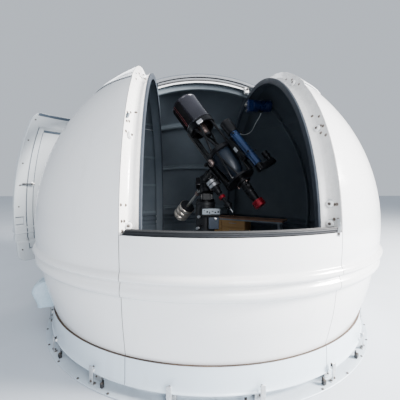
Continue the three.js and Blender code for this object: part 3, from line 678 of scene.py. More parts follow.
def ring_faces(n, steps):
    """Side faces and two end faces of a section of n points carried through a number of steps."""
    faces = [(k + i, k + (i + 1) % n, k + n + (i + 1) % n, k + n + i)
             for k in range(0, steps * n, n) for i in range(n)]
    return faces + [tuple(range(n)), tuple(steps * n + i for i in reversed(range(n)))]


def between(a, b):
    return lambda rho: (radians(a), radians(b))


def hoop_ends(rho, rear=HOOP_REAR_Z):
    return (asin((SILL_Z + 0.0003 - CENTRE_Z) / rho), pi - asin((rear - CENTRE_Z) / rho))


def shell_edge(phi):
    """Radius of the shell's outside where it meets the hoop."""
    for shape, low in ((CAP, True), (SHELL, False)):
        rho = sqrt((1 - (SEAM / shape[0]) ** 2) / ((cos(phi) / shape[0]) ** 2 + (sin(phi) / shape[1]) ** 2))
        if not low or CENTRE_Z + rho * sin(phi) > CAP_Z - 0.01:
            return rho


# The hoop's track: a slope in from the shell, a flat for the shoes, and a rim at the channel
TRACK = mm(590.5, 1376.5, 588, 1371.2, 584.5, 1367.2, 577, 1358.8, 573, 1356, 542, 1352.4, 538.5, 1352.8, 535.2,
    1355.6, 524, 1368.5, 522.2, 1370.4, 520.3, 1370.8, 520.3, 1340.2)
CHANNEL_SECTION = mm(505, 1327, 506, 1325.3, 519, 1325.3, 520, 1327, 520, 1370, 519, 1371, 506, 1371, 505, 1370)
FOOT_SECTION = mm(612.8, 1340.2, 612.8, 1356, 542, 1352.4) + TRACK[6:]


def hoop_section(side):
    def at(phi):
        edge = shell_edge(phi) + 0.0004
        line = [(0.6128, 1.3402), (0.6128, edge - 0.001), (0.6115, edge), (0.6095, edge - 0.001)]
        return [(side * x, rho) for x, rho in line + TRACK]

    return at


for side, tag in SIDES:
    marks = [0] * 15 + [1]
    dome.sweep(f"{tag}_hoop_moulding", hoop_section(side), [HOOP_PAINTED_WARM_LIGHT, SLATE], hoop_ends, 120, marks, angle=34,
        replaces=f"{tag}_hoop")
    rear = 0.44 if side < 0 else HOOP_REAR_Z
    dome.sweep(f"{tag}_channel_rail", [(side * x, rho) for x, rho in CHANNEL_SECTION], CHANNEL,
        lambda rho: hoop_ends(rho, rear), 110, angle=40, replaces=f"{tag}_channel")
dome.sweep("left_hoop_foot", [(-x, rho) for x, rho in FOOT_SECTION], SLATE,
    lambda rho: (hoop_ends(rho)[1], hoop_ends(rho, 0.44)[1]), 16)


# Fixed strip behind the slit, with its hat-section ribs
REAR_R = 1.534
RIBS = (102.0, 128.6, 155.5, 179.0)
STRIP_HALF = 0.5075


def strip_section(outer, inner, half, count=24):
    xs = spread(-half, half, count)
    return [(x, sqrt(outer ** 2 - x * x)) for x in xs] + [(x, sqrt(inner ** 2 - x * x)) for x in reversed(xs)]


def rear_ends(rho):
    return (radians(99.0), pi - asin((HOOP_REAR_Z - CENTRE_Z) / rho))


def rear_strip():
    section = strip_section(REAR_R, REAR_R - SKIN, STRIP_HALF)
    marks = [0] * 25 + [1] * 25
    dome.sweep("rear_strip_skin", section, [WHITE, SLATE], rear_ends, 60, marks, replaces="rear_strip", slot="liner")
    for side, tag in SIDES:
        wall = [(side * 0.508, 1.3714), (side * 0.5178, 1.3714), (side * 0.5178, 1.443), (side * 0.5165, 1.4445),
            (side * 0.508, 1.447)]
        dome.sweep(f"rear_strip_wall_{tag}", wall, [SLATE, WHITE], rear_ends, 60, [0, 1, 1, 1, 0])
    profile = mm(-36, 6.5, -36, 10.5, -22.5, 10.5, -18.5, 60, -16.5, 64.5, -12, 66, 12, 66, 16.5, 64.5, 18.5, 60,
        22.5, 10.5, 36, 10.5, 36, 6.5)
    for number, angle in enumerate(RIBS):
        middle = angle if number < 3 else 180.5
        verts = [hoop_point(x, sqrt(REAR_R ** 2 - x * x) - deep, radians(middle) + along / REAR_R)
                 for x in spread(-STRIP_HALF, STRIP_HALF, 30) for along, deep in profile]
        dome.mesh(f"rear_rib_{number + 1}", verts, ring_faces(len(profile), 30), RIB_PAINTED_LIGHT, angle=40)
    # Front edge: a coaming under the shutter's lip, grey as painted shade, a gasket line and a white moulding
    for name, outer, inner, a0, a1, material in (("slit_coaming", 1.5575, 1.5402, 98.5, 98.96, EDGE_PAINTED_SHADE),
            ("slit_gasket", 1.54, 1.5215, 98.42, 98.96, RUBBER), ("slit_moulding", 1.5213, 1.506, 98.52, 98.98,
            WHITE)):
        dome.sweep(name, strip_section(outer, inner, STRIP_HALF), material, between(a0, a1), 2, bevel=0.001,
            slot="shell")


rear_strip()


# Shutter leaf with its front lip, gasket, side beads and carriers
LEAF = {"outer": 1.6, "inner": 1.591, "half": 0.6248, "front": 98.0, "rear": 197.5, "lip": 1.5675}


def shutter_leaf():
    section = strip_section(LEAF["outer"], LEAF["inner"], LEAF["half"], 32)
    front, rear = radians(LEAF["front"]), radians(LEAF["rear"])
    shutter.sweep("shutter_leaf", section, [WHITE, SLATE], lambda rho: (front + 0.004, rear), 80, [0] * 33 + [1] * 33,
        replaces="shutter", bevel=0.0015)
    # The front lip and the gasket under it are grey as painted shade, and the outer front rim is a dark painted
    # shadow line.
    for name, outer, inner, a0, a1, material, half in (("front_lip", 1.5985, LEAF["lip"], 97.98, 98.32, EDGE_PAINTED_SHADE,
            0.6245), ("front_rim_painted_shade", 1.6, 1.594, 97.9, 98.24, PAINTED_SHADOW_LINE, 0.624),
            ("gasket", LEAF["lip"] + 0.001, LEAF["lip"] - 0.003, 98.0, 98.42, EDGE_PAINTED_SHADE, 0.55),
            ("rear_lip", 1.5985, 1.573, 197.2, 197.49, WHITE, 0.6245)):
        shutter.sweep(f"shutter_{name}", strip_section(outer, inner, half, 36), material, between(a0, a1), 3,
            bevel=0.001, slot="shell")
    for k, angle in enumerate((118.0, 138.0, 158.0, 178.0)):
        shutter.sweep(f"shutter_stiffener_{k + 1}", strip_section(1.5918, 1.583, 0.545), RIB_PAINTED_LIGHT,
            between(angle - 0.9, angle + 0.9), 3, bevel=0.003)
    for side, tag in SIDES:
        rim = [(side * x, rho) for x, rho in ((0.612, 1.4795), (0.623, 1.4752), (0.6246, 1.47), (0.6246, 1.434),
            (0.6238, 1.433), (0.6202, 1.433), (0.6194, 1.434), (0.619, 1.466), (0.617, 1.469), (0.612, 1.4715))]
        shutter.sweep(f"shutter_side_skirt_{tag}", rim, WHITE, lambda rho: (front + 0.003, rear - 0.003), 80,
            angle=50)
        for k, angle in enumerate((104.0, 141.0, 178.0)):
            block = [(side * x, rho) for x, rho in ((0.545, 1.3662), (0.556, 1.3662), (0.556, 1.486), (0.5545, 1.489),
                (0.547, 1.4935), (0.545, 1.494))]
            shutter.sweep(f"carrier_{tag}_{k + 1}", block, ZINC, between(angle - 1.9, angle + 1.9), 4, bevel=0.002,
                slot="shell")
            for turn, end in ((-1.0, "a"), (1.0, "b")):
                middle = hoop_point(side * 0.5505 - 0.0057, 1.3702, radians(angle + turn))
                shutter.turned(f"carrier_roller_{tag}_{k + 1}_{end}", middle, (1, 0, 0),
                    mm(0, 5, 0, 11.2, 2, 12.5, 9.4, 12.5, 11.4, 11.2, 11.4, 5), NYLON, 20, closed=True)


shutter_leaf()


def hoop_frame(x, rho, degrees, tilt=0.0):
    """A frame on the hoop: Z outward, X along +X, Y along the hoop toward the rear; tilt turns Z toward +X."""
    a = radians(degrees)
    out = V(0, -cos(a), sin(a))
    along = V(0, sin(a), cos(a))
    t = radians(tilt)
    normal = out * cos(t) + V(sin(t), 0, 0)
    matrix = Matrix((along.cross(normal), along, normal)).transposed().to_4x4()
    matrix.translation = hoop_point(x, rho, a)
    return matrix


# Corner stop beside the shutter's front edge, with its clamp knob
def corner_stop():
    frame_at = hoop_frame(0.484, 1.421, 98.2)
    dome.box("slit_stop_block", (-0.024, -0.022, -0.032), (0.0236, 0.024, 0.03), HOOP_PAINTED_WARM_LIGHT, frame_at, 0.005)
    origin = frame_at @ V(0.006, -0.022, 0.002)
    dome.turned("slit_stop_knob", origin, frame_at.to_3x3() @ V(0, -1, 0),
        mm(-2, 0, -2, 6, 8, 6, 10, 14, 20, 15, 24, 12, 26, 0), RUBBER, 20, angle=40)


corner_stop()


# Sill: an extruded rail on the front panel between the two slopes, with rubber beads
SILL = {"z0": SILL_Z + 0.0004, "z1": SILL_Z + 0.0228, "reach": 0.5855, "back": 1.5002, "front": 1.551}


def sill_rail():
    profile = mm(0, -4, 3.5, 0, 6.5, 0, 9.5, -1.2, 12.5, -1.2, 15.5, 0, 18.5, 0, 22.4, -2)
    reach = SILL["reach"]
    xs = spread(-reach, reach, 48)
    grid = [[(V(x, -sqrt((SILL["front"] + out) ** 2 - x * x), SILL["z0"] + dz),
        V(x, -sqrt(SILL["back"] ** 2 - x * x), SILL["z0"] + dz)) for x in xs] for dz, out in profile]
    dome.thick("sill_rail", [grid], SILL_ALU, replaces="sill", bevel=0.0008)
    for name, radius, r, lift in (("sill_bead", 1.5435, 0.0048, 0.0036), ("sill_inner_bead", 1.506, 0.0032, 0.0022)):
        path = [(x, -sqrt(radius ** 2 - x * x), SILL["z1"] + lift) for x in spread(-reach * 0.99, reach * 0.99, 40)]
        dome.tube(name, path, r, RUBBER)


sill_rail()


# Lower ring, in four lengths that meet at the seams
RING_LINE = mm(1451.5, 59.4, 1454.5, 60, 1455.5, 62.5, 1454.8, 66.5, 1452, 70.5, 1449.5, 76, 1447.8, 86, 1446.4, 100,
    1445, 130, 1443.2, 160, 1441.2, 185, 1439.4, 208, 1438.6, 216, 1437, 217.6)


def ring_seam(r):
    return (plane_azimuth(r, SEAM - SEAM_GAP), plane_azimuth(r, SEAM + SEAM_GAP))


def lower_ring():
    rows = catmull(RING_LINE, 3)
    inner = [(r - 0.0075, min(max(z, 0.0596), 0.2176)) for r, z in rows]
    spans = {"front": lambda r: (-ring_seam(r)[0], ring_seam(r)[0]), "right": lambda r: (ring_seam(r)[1],
        180 - ring_seam(r)[1]), "left": lambda r: (-180 + ring_seam(r)[1], -ring_seam(r)[1]),
        "rear": lambda r: (180 - ring_seam(r)[0], 180 + ring_seam(r)[0])}
    for tag, span in spans.items():
        dome.thick(f"lower_ring_{tag}_skin", [shell_grid(rows, inner, span, 40 if tag in ("front", "rear") else 80)],
            [RING_PAINTED_DECK_REFLECTION, SLATE, SEAM_GREY], replaces=f"lower_ring_{tag}")
    turns = range(0, 361, 3)
    joint = [[(polar(r, z, a), polar(1.402, z, a)) for a in turns] for r, z in ((1.439, 0.2166), (1.4408, 0.2186))]
    dome.thick("ring_joint_sealant", [joint], SEALANT)
    foot = [[(polar(1.442, z, a), polar(1.394, z, a)) for a in turns] for z in (0.0594, 0.067)]
    dome.thick("ring_track", [foot], ZINC, bevel=0.001, slot="shell")
    for k, a in enumerate([-23.0, 23.0, -157.0, 157.0]):
        dome.box(f"ring_splice_{k + 1}", (-0.03, 1.428, 0.09), (0.03, 1.4335, 0.19), ZINC,
            Matrix.Rotation(radians(a + 180), 4, "Z"), 0.002, slot="shell")


lower_ring()


# Fixed base ring: plate, upstand, guide posts with their arms, and the rollers that carry the dome
def around(azimuth):
    """A frame at an azimuth: X along the ring, Y outward, Z up."""
    a = radians(azimuth)
    out = V(sin(a), -cos(a), 0)
    side = V(cos(a), sin(a), 0)
    return Matrix((side, out, V(0, 0, 1))).transposed().to_4x4()


def hexagon(matrix, origin, axis, size, height, washer=True):
    """A bolt head with its washer and a chamfered top, as raw bodies."""
    place = basis(matrix @ Vector(origin), matrix.to_3x3() @ Vector(axis))
    r = size / 2 / cos(pi / 6)
    bodies = [turned_mesh(place, [(0.0, 0), (0.0, r), (height * 0.8, r), (height, r * 0.86), (height, 0)], 6)]
    if washer:
        bodies.append(turned_mesh(place, [(-0.0004, 0), (-0.0004, size * 0.85), (0.0014, size * 0.85), (0.0014, 0)],
            18))
    return bodies


def base_ring():
    plate = mm(1396, 0.2, 1498.5, 0.2, 1500, 1.5, 1500, 6.5, 1498.5, 8, 1404.6, 8, 1403.4, 9.2, 1403.4, 48.5, 1402.6,
        50, 1396.2, 50, 1395.4, 49, 1395.4, 1)
    for k in range(3):
        verts = [polar(r, z, a) for a in spread(120 * k - 3.95, 120 * k + 115.95, 60) for r, z in plate]
        base.mesh(f"base_plate_{k + 1}", verts, ring_faces(len(plate), 60), PLATE, replaces=f"base_ring_{k + 1}")
    for k in range(18):
        at = around(6 + 20 * k)
        base.box(f"post_{k + 1}", (-0.015, 1.477, 0.0075), (0.015, 1.483, 0.125), ZINC, at, 0.0035)
        base.box(f"post_foot_{k + 1}", (-0.024, 1.456, 0.0078), (0.024, 1.4825, 0.013), ZINC, at, 0.0015)
        base.box(f"post_arm_{k + 1}", (-0.01, 1.46, 0.098), (0.01, 1.479, 0.11), RUBBER if k % 2 else ZINC, at, 0.003,
            slot="galvanised")
        base.turned(f"post_roller_{k + 1}", at @ V(0, 1.4625, 0.0795), (0, 0, 1),
            mm(0, 3.5, 0, 6.2, 1.5, 7.2, 17.5, 7.2, 19, 6.2, 19, 3.5), NYLON, 20, closed=True, slot="galvanised")
        bolts = []
        for dx in (-0.015, 0.015):
            bolts += hexagon(at, (dx, 1.469, 0.013), (0, 0, 1), 0.01, 0.006)
        bolts += hexagon(at, (0, 1.4625, 0.11), (0, 0, 1), 0.008, 0.005)
        bolts += hexagon(at, (0, 1.483, 0.032), (0, 1, 0), 0.01, 0.006)
        base.gather(f"post_bolts_{k + 1}", bolts, BOLT)
        base.box(f"roller_bracket_{k + 1}", (-0.03, 1.4042, 0.0084), (0.03, 1.41, 0.052), ZINC, at, 0.003)
        base.box(f"roller_cheek_{k + 1}", (-0.03, 1.4335, 0.0084), (0.03, 1.439, 0.052), ZINC, at, 0.003)
        base.box(f"roller_seat_{k + 1}", (-0.03, 1.4095, 0.0084), (0.03, 1.434, 0.014), ZINC, at, 0.001)
        base.turned(f"roller_{k + 1}", at @ V(0, 1.4104, 0.0345), at.to_3x3() @ V(0, 1, 0),
            mm(0, 6, 0, 21.5, 2.5, 23.8, 20, 23.8, 22.5, 21.5, 22.5, 6), NYLON, 28, closed=True, slot="galvanised")
        base.turned(f"roller_axle_{k + 1}", at @ V(0, 1.4005, 0.0345), at.to_3x3() @ V(0, 1, 0),
            rounded(0.0445, 0.0058, 0.001), BOLT, 14)
    dark = []
    for k, (azimuth, width) in enumerate(((2.4, 0.022), (-31.0, 0.02), (23.0, 0.026), (-50.0, 0.03), (40.0, 0.04))):
        at = around(azimuth)
        base.box(f"hold_down_{k + 1}", (-width / 2, 1.4575, 0.0078), (width / 2, 1.478, 0.036), RUBBER, at, 0.004)
        base.box(f"hold_down_claw_{k + 1}", (-width / 3, 1.4565, 0.03), (width / 3, 1.464, 0.052), BLACK, at, 0.002,
            slot="grip")
        dark += hexagon(at, (0, 1.47, 0.036), (0, 0, 1), 0.012, 0.007)
    base.gather("hold_down_bolts", dark, BOLT)
    anchors = []
    for k in range(36):
        anchors += hexagon(around(10 * k + 1.5), (0, 1.49, 0.008), (0, 0, 1), 0.01, 0.006)
    base.gather("anchor_bolts", anchors, BOLT)


base_ring()


# Vent hood on the left skirt: an elbow cowl with its mouth down and a flange screwed to the wall
HOOD_AZ = -75.0


def line_r(z):
    """The wall's outer radius at a height, ring and belt included."""
    rows = RING_LINE + ROWS
    for a, b in zip(rows, rows[1:]):
        if a[1] <= z <= b[1] and b[1] > a[1]:
            return a[0] + (b[0] - a[0]) * (z - a[1]) / (b[1] - a[1])
    return rows[-1][0]


def vent_hood():
    at = around(HOOD_AZ)
    reach0, foot, crown, turn = 1.465, 0.166, 0.388, 0.098

    def reach(z):
        if z <= 0.29:
            return 0.149 - 0.048 * (0.29 - z) / 0.124
        return 0.051 + sqrt(max(0.0, turn ** 2 - (z - 0.29) ** 2))

    stations = [(foot + (0.29 - foot) * k / 6, None) for k in range(7)]
    stations += [(0.29 + turn * sin(radians(9 * k)), None) for k in range(1, 11)]
    stations += [(crown, 0.051 * (1 - k / 4)) for k in range(1, 4)]

    def ring(z, out, inset):
        depth = max(out - inset, 0.004)
        half, corner = 0.094 - inset, min(0.04, depth * 0.7)
        wall = max(line_r(max(z, 0.07)) - reach0, line_r(0.2) - reach0) + 0.0012
        points = [(-half, wall)]
        for side in (-1, 1):
            for k in range(9):
                a = radians(90 * k / 8)
                ax, ay = (cos(a), sin(a)) if side < 0 else (sin(a), cos(a))
                points.append((side * (half - corner + corner * ax), max(depth - corner + corner * ay, wall)))
        points.append((half, wall))
        return points

    grid = []
    for z, fixed in stations:
        out = fixed if fixed is not None else reach(z)
        outer, inner = ring(z, out, 0.0), ring(z, out, 0.0045)
        lift = min(z, crown - 0.0045) if z > 0.3 else z
        row = []
        for (w, s), (wi, si) in zip(outer, inner):
            bend = lambda w, s: sqrt(max((reach0 + s) ** 2 - (w * w if s < 0.02 else 0), 0))
            row.append((at @ V(w, bend(w, s), z), at @ V(wi, bend(wi, si), lift)))
        grid.append(row)
    dome.thick("vent_hood_cowl", [grid], [HOOD, SLATE, HOOD], angle=55, replaces="vent_hood")
    rim = []
    for w, s in ring(foot, reach(foot), -0.003)[1:-1]:
        rim.append(tuple(at @ V(w, reach0 + s, foot + 0.004)))
    dome.tube("vent_hood_rim", rim, 0.0052, HOOD)
    for tag, w0, w1 in (("left", -0.122, -0.0955), ("right", 0.0955, 0.122)):
        grid = []
        for z in spread(0.232, 0.385, 8):
            r = line_r(z)
            row = []
            for w in (w0, (w0 + w1) / 2, w1):
                y = lambda rr: sqrt(rr ** 2 - w * w)
                row.append((at @ V(w, y(r + 0.0046), z), at @ V(w, y(r + 0.0004), z)))
            grid.append(row)
        dome.thick(f"vent_flange_{tag}", [grid], HOOD, bevel=0.001)
    screws = []
    for w in (-0.109, 0.109):
        for z in (0.25, 0.308, 0.366):
            r = line_r(z)
            screws += hexagon(at, (w, sqrt((r + 0.0046) ** 2 - w * w), z), (w / r, 1, 0.1), 0.009, 0.004)
    dome.gather("vent_hood_screws", screws, BOLT)


vent_hood()


# Door, modelled closed and swung open about its hinge
HINGE_AZ = -120.0
HINGE = V(1.6 * sin(radians(HINGE_AZ)), -1.6 * cos(radians(HINGE_AZ)), 0)
SWING = Matrix.Translation(HINGE) @ Matrix.Rotation(radians(-36), 4, "Z") @ Matrix.Translation(-HINGE)
DOOR_FACES = {"border": 0.034, "panel": 0.0205, "well": 0.011, "pocket": 0.013}


# The belt's ribs don't show on the hatch's inner side
BELT_SPAN = (0.59, 0.76)
BELT_R = 1.545
LATCH = {"azimuth": -93, "z": 1.225, "lever": 0.11}


def plain_r(z):
    """The wall's outer radius at a height, without the belt's ribs."""
    return min(line_r(z), BELT_R) if BELT_SPAN[0] < z < BELT_SPAN[1] else line_r(z)


def door_panel():
    bottom, top, corner = DOOR["bottom"], DOOR["top"], DOOR["corner"]
    heights = [bottom + corner * (1 - cos(radians(a))) for a in range(0, 91, 10)]
    heights += [top - corner * (1 - cos(radians(a))) for a in range(0, 91, 10)]
    heights += [z for _, z in ROWS if bottom + corner < z < top - corner]
    edges = (0.112, 0.123)
    well = (0.192, 1.7875, 0.0035)
    heights += [bottom + e for e in edges] + [top - e for e in edges]
    pocket = {"s": (0.014, 0.094), "z": (0.785, 0.868)}
    heights += [pocket["z"][0] - 0.005, pocket["z"][0], pocket["z"][1], pocket["z"][1] + 0.005, well[1],
        well[1] + well[2]]
    kept = []
    for z in sorted(heights):
        if not kept or z - kept[-1] > 0.0012:
            kept.append(z)
    width = radians(2 * DOOR_HALF) * MEAN_R
    columns = [0, 0.006, 0.009, 0.014, 0.04, 0.068, 0.094, 0.0985, *edges, 0.157, well[0] - well[2], well[0]]
    columns += [well[0] + (width - edges[1] - well[0]) * k / 10 for k in range(1, 10)]
    columns += [width - c for c in (*reversed(edges), 0.07, 0.04, 0.012, 0.0)]
    lip = 0.006

    def depth(s, z):
        d = min(s, width - s, z - bottom, top - z)
        if all(pocket[key][0] - TINY <= value <= pocket[key][1] + TINY for key, value in (("s", s), ("z", z))):
            return DOOR_FACES["pocket"]
        if s >= well[0] - TINY and z <= well[1] + TINY and d >= edges[1] - TINY:
            return DOOR_FACES["well"]
        if d >= edges[1] - TINY:
            return DOOR_FACES["panel"]
        if d <= lip:
            return DOOR_FACES["border"] - 0.006 * (1 - d / lip) ** 2
        return DOOR_FACES["border"]

    grid = []
    for z in kept:
        half = DOOR_HALF - degrees(corner_inset(z, bottom, top, corner) / MEAN_R)
        r = line_r(z)
        row = []
        for s in columns:
            azimuth = DOOR_MID + half - 2 * half * s / width
            edge = min(s, width - s, z - bottom, top - z)
            outward = 0.003 * (1 - min(edge / 0.008, 1)) ** 2
            row.append((SWING @ polar(r - outward, z, azimuth), SWING @ polar(plain_r(z) - depth(s, z), z, azimuth)))
        grid.append(row)
    door.thick("door_leaf", [grid], [WHITE, DOOR_GREY, DOOR_GREY], angle=38, replaces="door_panel", slot="door")

    def on_door(s, z, deep):
        """A frame on the inner face: X along the door, Y up, Z into the room."""
        half = DOOR_HALF
        azimuth = DOOR_MID + half - 2 * half * s / width
        r = line_r(z) - deep
        a = radians(azimuth)
        out = V(sin(a), -cos(a), 0)
        slope = (line_r(z + 0.02) - line_r(z - 0.02)) / 0.04
        up = V(out.x * slope, out.y * slope, 1).normalized()
        inward = (-out + up * out.dot(up)).normalized()
        side = up.cross(inward)
        matrix = Matrix((side, up, inward)).transposed().to_4x4()
        matrix.translation = polar(r, z, azimuth)
        return SWING @ matrix

    def strip(name, s0, s1, z0, z1, deep, rise):
        """A thin dark strip laid on the inner face: a painted shadow line."""
        columns, rows = max(2, int((s1 - s0) / 0.04)), max(2, int((z1 - z0) / 0.04))
        grid = []
        for z in spread(z0, z1, rows):
            r = plain_r(z) - deep
            angles = [DOOR_MID + DOOR_HALF - 2 * DOOR_HALF * s / width for s in spread(s0, s1, columns)]
            grid.append([(SWING @ polar(r, z, a), SWING @ polar(r - rise, z, a)) for a in angles])
        door.thick(name, [grid], PAINTED_SHADOW_LINE)

    panel, deepest = DOOR_FACES["panel"] - 0.0005, DOOR_FACES["well"] - 0.0005
    right, low = width - edges[1], bottom + edges[1]
    # Dark strips along the top edge, under the well's top and along the recess edges: painted shade and painted
    # shadow lines.
    strip("door_painted_shadow_strip", 0.055, width - 0.055, top - 0.026, top - 0.004, DOOR_FACES["border"] - 0.0006, 0.004)
    strip("door_slot_painted_shadow", well[0] + 0.008, right - 0.008, 1.764, 1.786, deepest, 0.003)
    strip("door_shadow_line_left", edges[1] + 0.0005, edges[1] + 0.0075, low, top - edges[1], panel, 0.0022)
    strip("door_shadow_line_low", edges[1] + 0.008, right, low + 0.0005, low + 0.007, panel, 0.0022)
    strip("door_shadow_line_well", well[0] + 0.0005, well[0] + 0.007, low + 0.008, 1.763, deepest, 0.0022)
    p0, p1 = pocket["s"]
    strip("door_pocket_shadow_top", p0, p1, pocket["z"][1] - 0.007, pocket["z"][1] - 0.0005, DOOR_FACES["pocket"] - 0.0005,
        0.0022)
    strip("door_pocket_shadow_low", p0, p1, pocket["z"][0] + 0.0005, pocket["z"][0] + 0.006, DOOR_FACES["pocket"] - 0.0005,
        0.0022)
    screws = []
    for s in (0.045, width - 0.045):
        for z in (0.52, 0.75, 0.98, 1.21, 1.44, 1.67, 1.86):
            if not 0.74 < z < 0.92 or s > 0.5:
                place = on_door(s, z, DOOR_FACES["border"])
                screws += hexagon(place, (0, 0, 0), (0, 0, 1), 0.01, 0.004)
    door.gather("door_screws", screws, BOLT)
    for k, z in enumerate((0.85, 1.33)):
        r = line_r(z + 0.045)
        lo, hi = z + 0.0312, z + 0.06

        def plate(name, r0, r1, a0, a1, steps):
            turns = spread(a0, a1, steps)
            grid = [[(SWING @ polar(r1, zz, a), SWING @ polar(r0, zz, a)) for a in turns] for zz in (lo, hi)]
            door.thick(name, [grid], ZINC, bevel=0.0015, slot="steel")

        plate(f"hinge_strap_{k + 1}", r + 0.0002, r + 0.0075, HINGE_AZ + 1.5, HINGE_AZ + 9, 8)
        plate(f"hinge_arm_{k + 1}", r - 0.01, 1.607, HINGE_AZ + 1.5, HINGE_AZ + 2.6, 2)
        plate(f"hinge_link_{k + 1}", 1.5925, 1.607, HINGE_AZ + 0.2, HINGE_AZ + 2.5, 2)
        door.turned(f"hinge_eye_{k + 1}", HINGE + V(0, 0, lo), (0, 0, 1),
            [(0, 0.0085), (0, 0.016), (0.001, 0.017), (hi - lo - 0.001, 0.017), (hi - lo, 0.016), (hi - lo, 0.0085)],
            ZINC, 28, closed=True, slot="steel")
        bolts = []
        for azimuth in (HINGE_AZ + 3.9, HINGE_AZ + 6.1, HINGE_AZ + 8.1):
            p = SWING @ polar(r + 0.0075, (lo + hi) / 2, azimuth)
            q = SWING @ polar(r + 1.0, (lo + hi) / 2, azimuth)
            bolts += hexagon(GROUND, p, q - p, 0.01, 0.005)
        door.gather(f"hinge_bolts_{k + 1}", bolts, BOLT)
        dome.turned(f"hinge_cap_{k + 1}", HINGE + V(0, 0, hi + 0.0002), (0, 0, 1),
            mm(0, 0, 0, 12.5, 3, 13.5, 6.5, 11, 8.5, 6, 9, 0), ZINC, 24, slot="steel")
    a = radians(LATCH["azimuth"])
    out = V(sin(a), -cos(a), 0)
    tangent = V(-out.y, out.x, 0)
    inner_r = line_r(LATCH["z"]) - DOOR_FACES["border"]
    spin = SWING.to_3x3()
    at = lambda r: SWING @ (out * r + V(0, 0, LATCH["z"]))
    door.turned("latch_boss", at(inner_r + 0.004), spin @ -out, mm(0, 25.5, 6, 25.5, 8.5, 23.5, 15.2, 22, 15.8, 20.5),
        DOOR_GREY, 36)
    latch.turned("latch_hub", at(inner_r - 0.0123), spin @ -out, mm(0, 0, 0, 13.5, 2.5, 14, 17, 13, 23, 10.5, 25.5, 6,
        26, 0), STEEL, 28, replaces="door_latch", slot="grip")
    grip = basis(at(inner_r - 0.0275), spin @ tangent, spin @ -out)
    rows, n = [], 18
    for k in range(13):
        s = LATCH["lever"] * k / 12
        wide = 0.0078 - 0.0012 * sin(pi * k / 12) + (0.0012 if k > 9 else 0)
        high = 0.0055 if 0 < k < 12 else 0.0035
        drop = 0.004 * sin(pi * k / 12)
        rows += [grip @ V(high * cos(2 * pi * i / n) + drop, wide * sin(2 * pi * i / n), s) for i in range(n)]
    latch.mesh("latch_lever", rows, ring_faces(n, 12), RUBBER, angle=60)


door_panel()


# Drive that pulls the shutter, hung under the right channel
def shutter_drive():
    dome.box("drive_gearbox", (0.4945, 0.1605, 2.0505), (0.5655, 0.2395, 2.18), MOTOR, None, 0.007,
        replaces="shutter_motor")
    dome.box("drive_cover", (0.49, 0.168, 2.06), (0.495, 0.232, 2.17), MOTOR, None, 0.002)
    for k in range(5):
        z = 2.068 + 0.02 * k
        dome.box(f"drive_rib_{k + 1}", (0.5, 0.1565, z), (0.56, 0.1615, z + 0.007), MOTOR, None, 0.0015)
    fins = mm(0, 0, 0, 56, 3, 60)
    s = 0.012
    while s < 0.15:
        fins += [(s, 0.06), (s + 0.0012, 0.0656), (s + 0.0042, 0.0656), (s + 0.0054, 0.06)]
        s += 0.0115
    fins += mm(156, 61, 160, 65.2, 196, 65.2, 205, 62, 211, 51, 212.5, 0)
    dome.turned("drive_motor", (0.5625, 0.2, 2.12), (1, 0, 0), fins, MOTOR, 40, angle=30)
    dome.box("drive_terminal_box", (0.618, 0.178, 2.0545), (0.682, 0.222, 2.07), BLACK, None, 0.003, slot="motor")
    bolts = []
    for y in (0.176, 0.224):
        for z in (2.07, 2.16):
            bolts += hexagon(GROUND, (0.49, y, z), (-1, 0, 0), 0.009, 0.005)
    for k in range(4):
        a = radians(45 + 90 * k)
        bolts += hexagon(GROUND, (0.773, 0.2 + 0.038 * cos(a), 2.12 + 0.038 * sin(a)), (1, 0, 0), 0.007,
            0.0018, False)
    dome.gather("drive_bolts", bolts, STEEL)
    dome.turned("drive_sprocket", (0.468, 0.2, 2.13), (1, 0, 0), mm(0, 10, 6, 11, 8, 24, 13.5, 24, 15, 11, 22.5, 11),
        STEEL, 24)
    dome.turned("drive_gland", (0.66, 0.204, 2.0445), (0, 0, 1), mm(0, 5.4, 0, 7.8, 2, 8.8, 8, 8.8, 9.5, 5.4), RUBBER,
        18, closed=True)


shutter_drive()


# Hardware on the hoops' slopes, as (x, hoop angle)
HOOP_BOLTS = {"right": ((0.589, 61.1), (0.596, 56.9), (0.598, 51.0), (0.583, 35.4), (0.601, 33.6), (0.597, 30.7),
    (0.602, 30.1), (0.592, 28.7), (0.602, 27.2), (0.596, 9.2), (0.601, 9.2), (0.593, 5.7)),
    "left": ((0.593, 58.5), (0.595, 51.1), (0.545, 56.9), (0.604, 32.9), (0.592, 34.2), (0.565, 35.5), (0.603, 30.1),
    (0.594, 30.9), (0.602, 27.1), (0.606, 9.2), (0.589, 9.3), (0.603, 5.7), (0.594, 5.7), (0.601, 3.6))}
HOOP_ROLLERS = {"right": ((0.589, 30.4), (0.584, 9.4), (0.582, 4.6), (0.592, 54.0)),
    "left": ((0.59, 26.8), (0.575, 4.6), (0.56, 58.0))}


def hoop_place(side, x, angle):
    """A frame on the track's surface, its Z along the surface's normal."""
    edge = shell_edge(radians(angle))
    if x > 0.588:
        return hoop_frame(side * x, 1.3735 + (x - 0.5895) / 0.0205 * (edge - 1.3735), angle, -side * 68)
    if x > 0.577:
        return hoop_frame(side * x, 1.359 + (x - 0.577) * 1.13, angle, -side * 48)
    return hoop_frame(side * x, 1.3524 + (x - 0.542) * 0.116, angle, -side * 6)


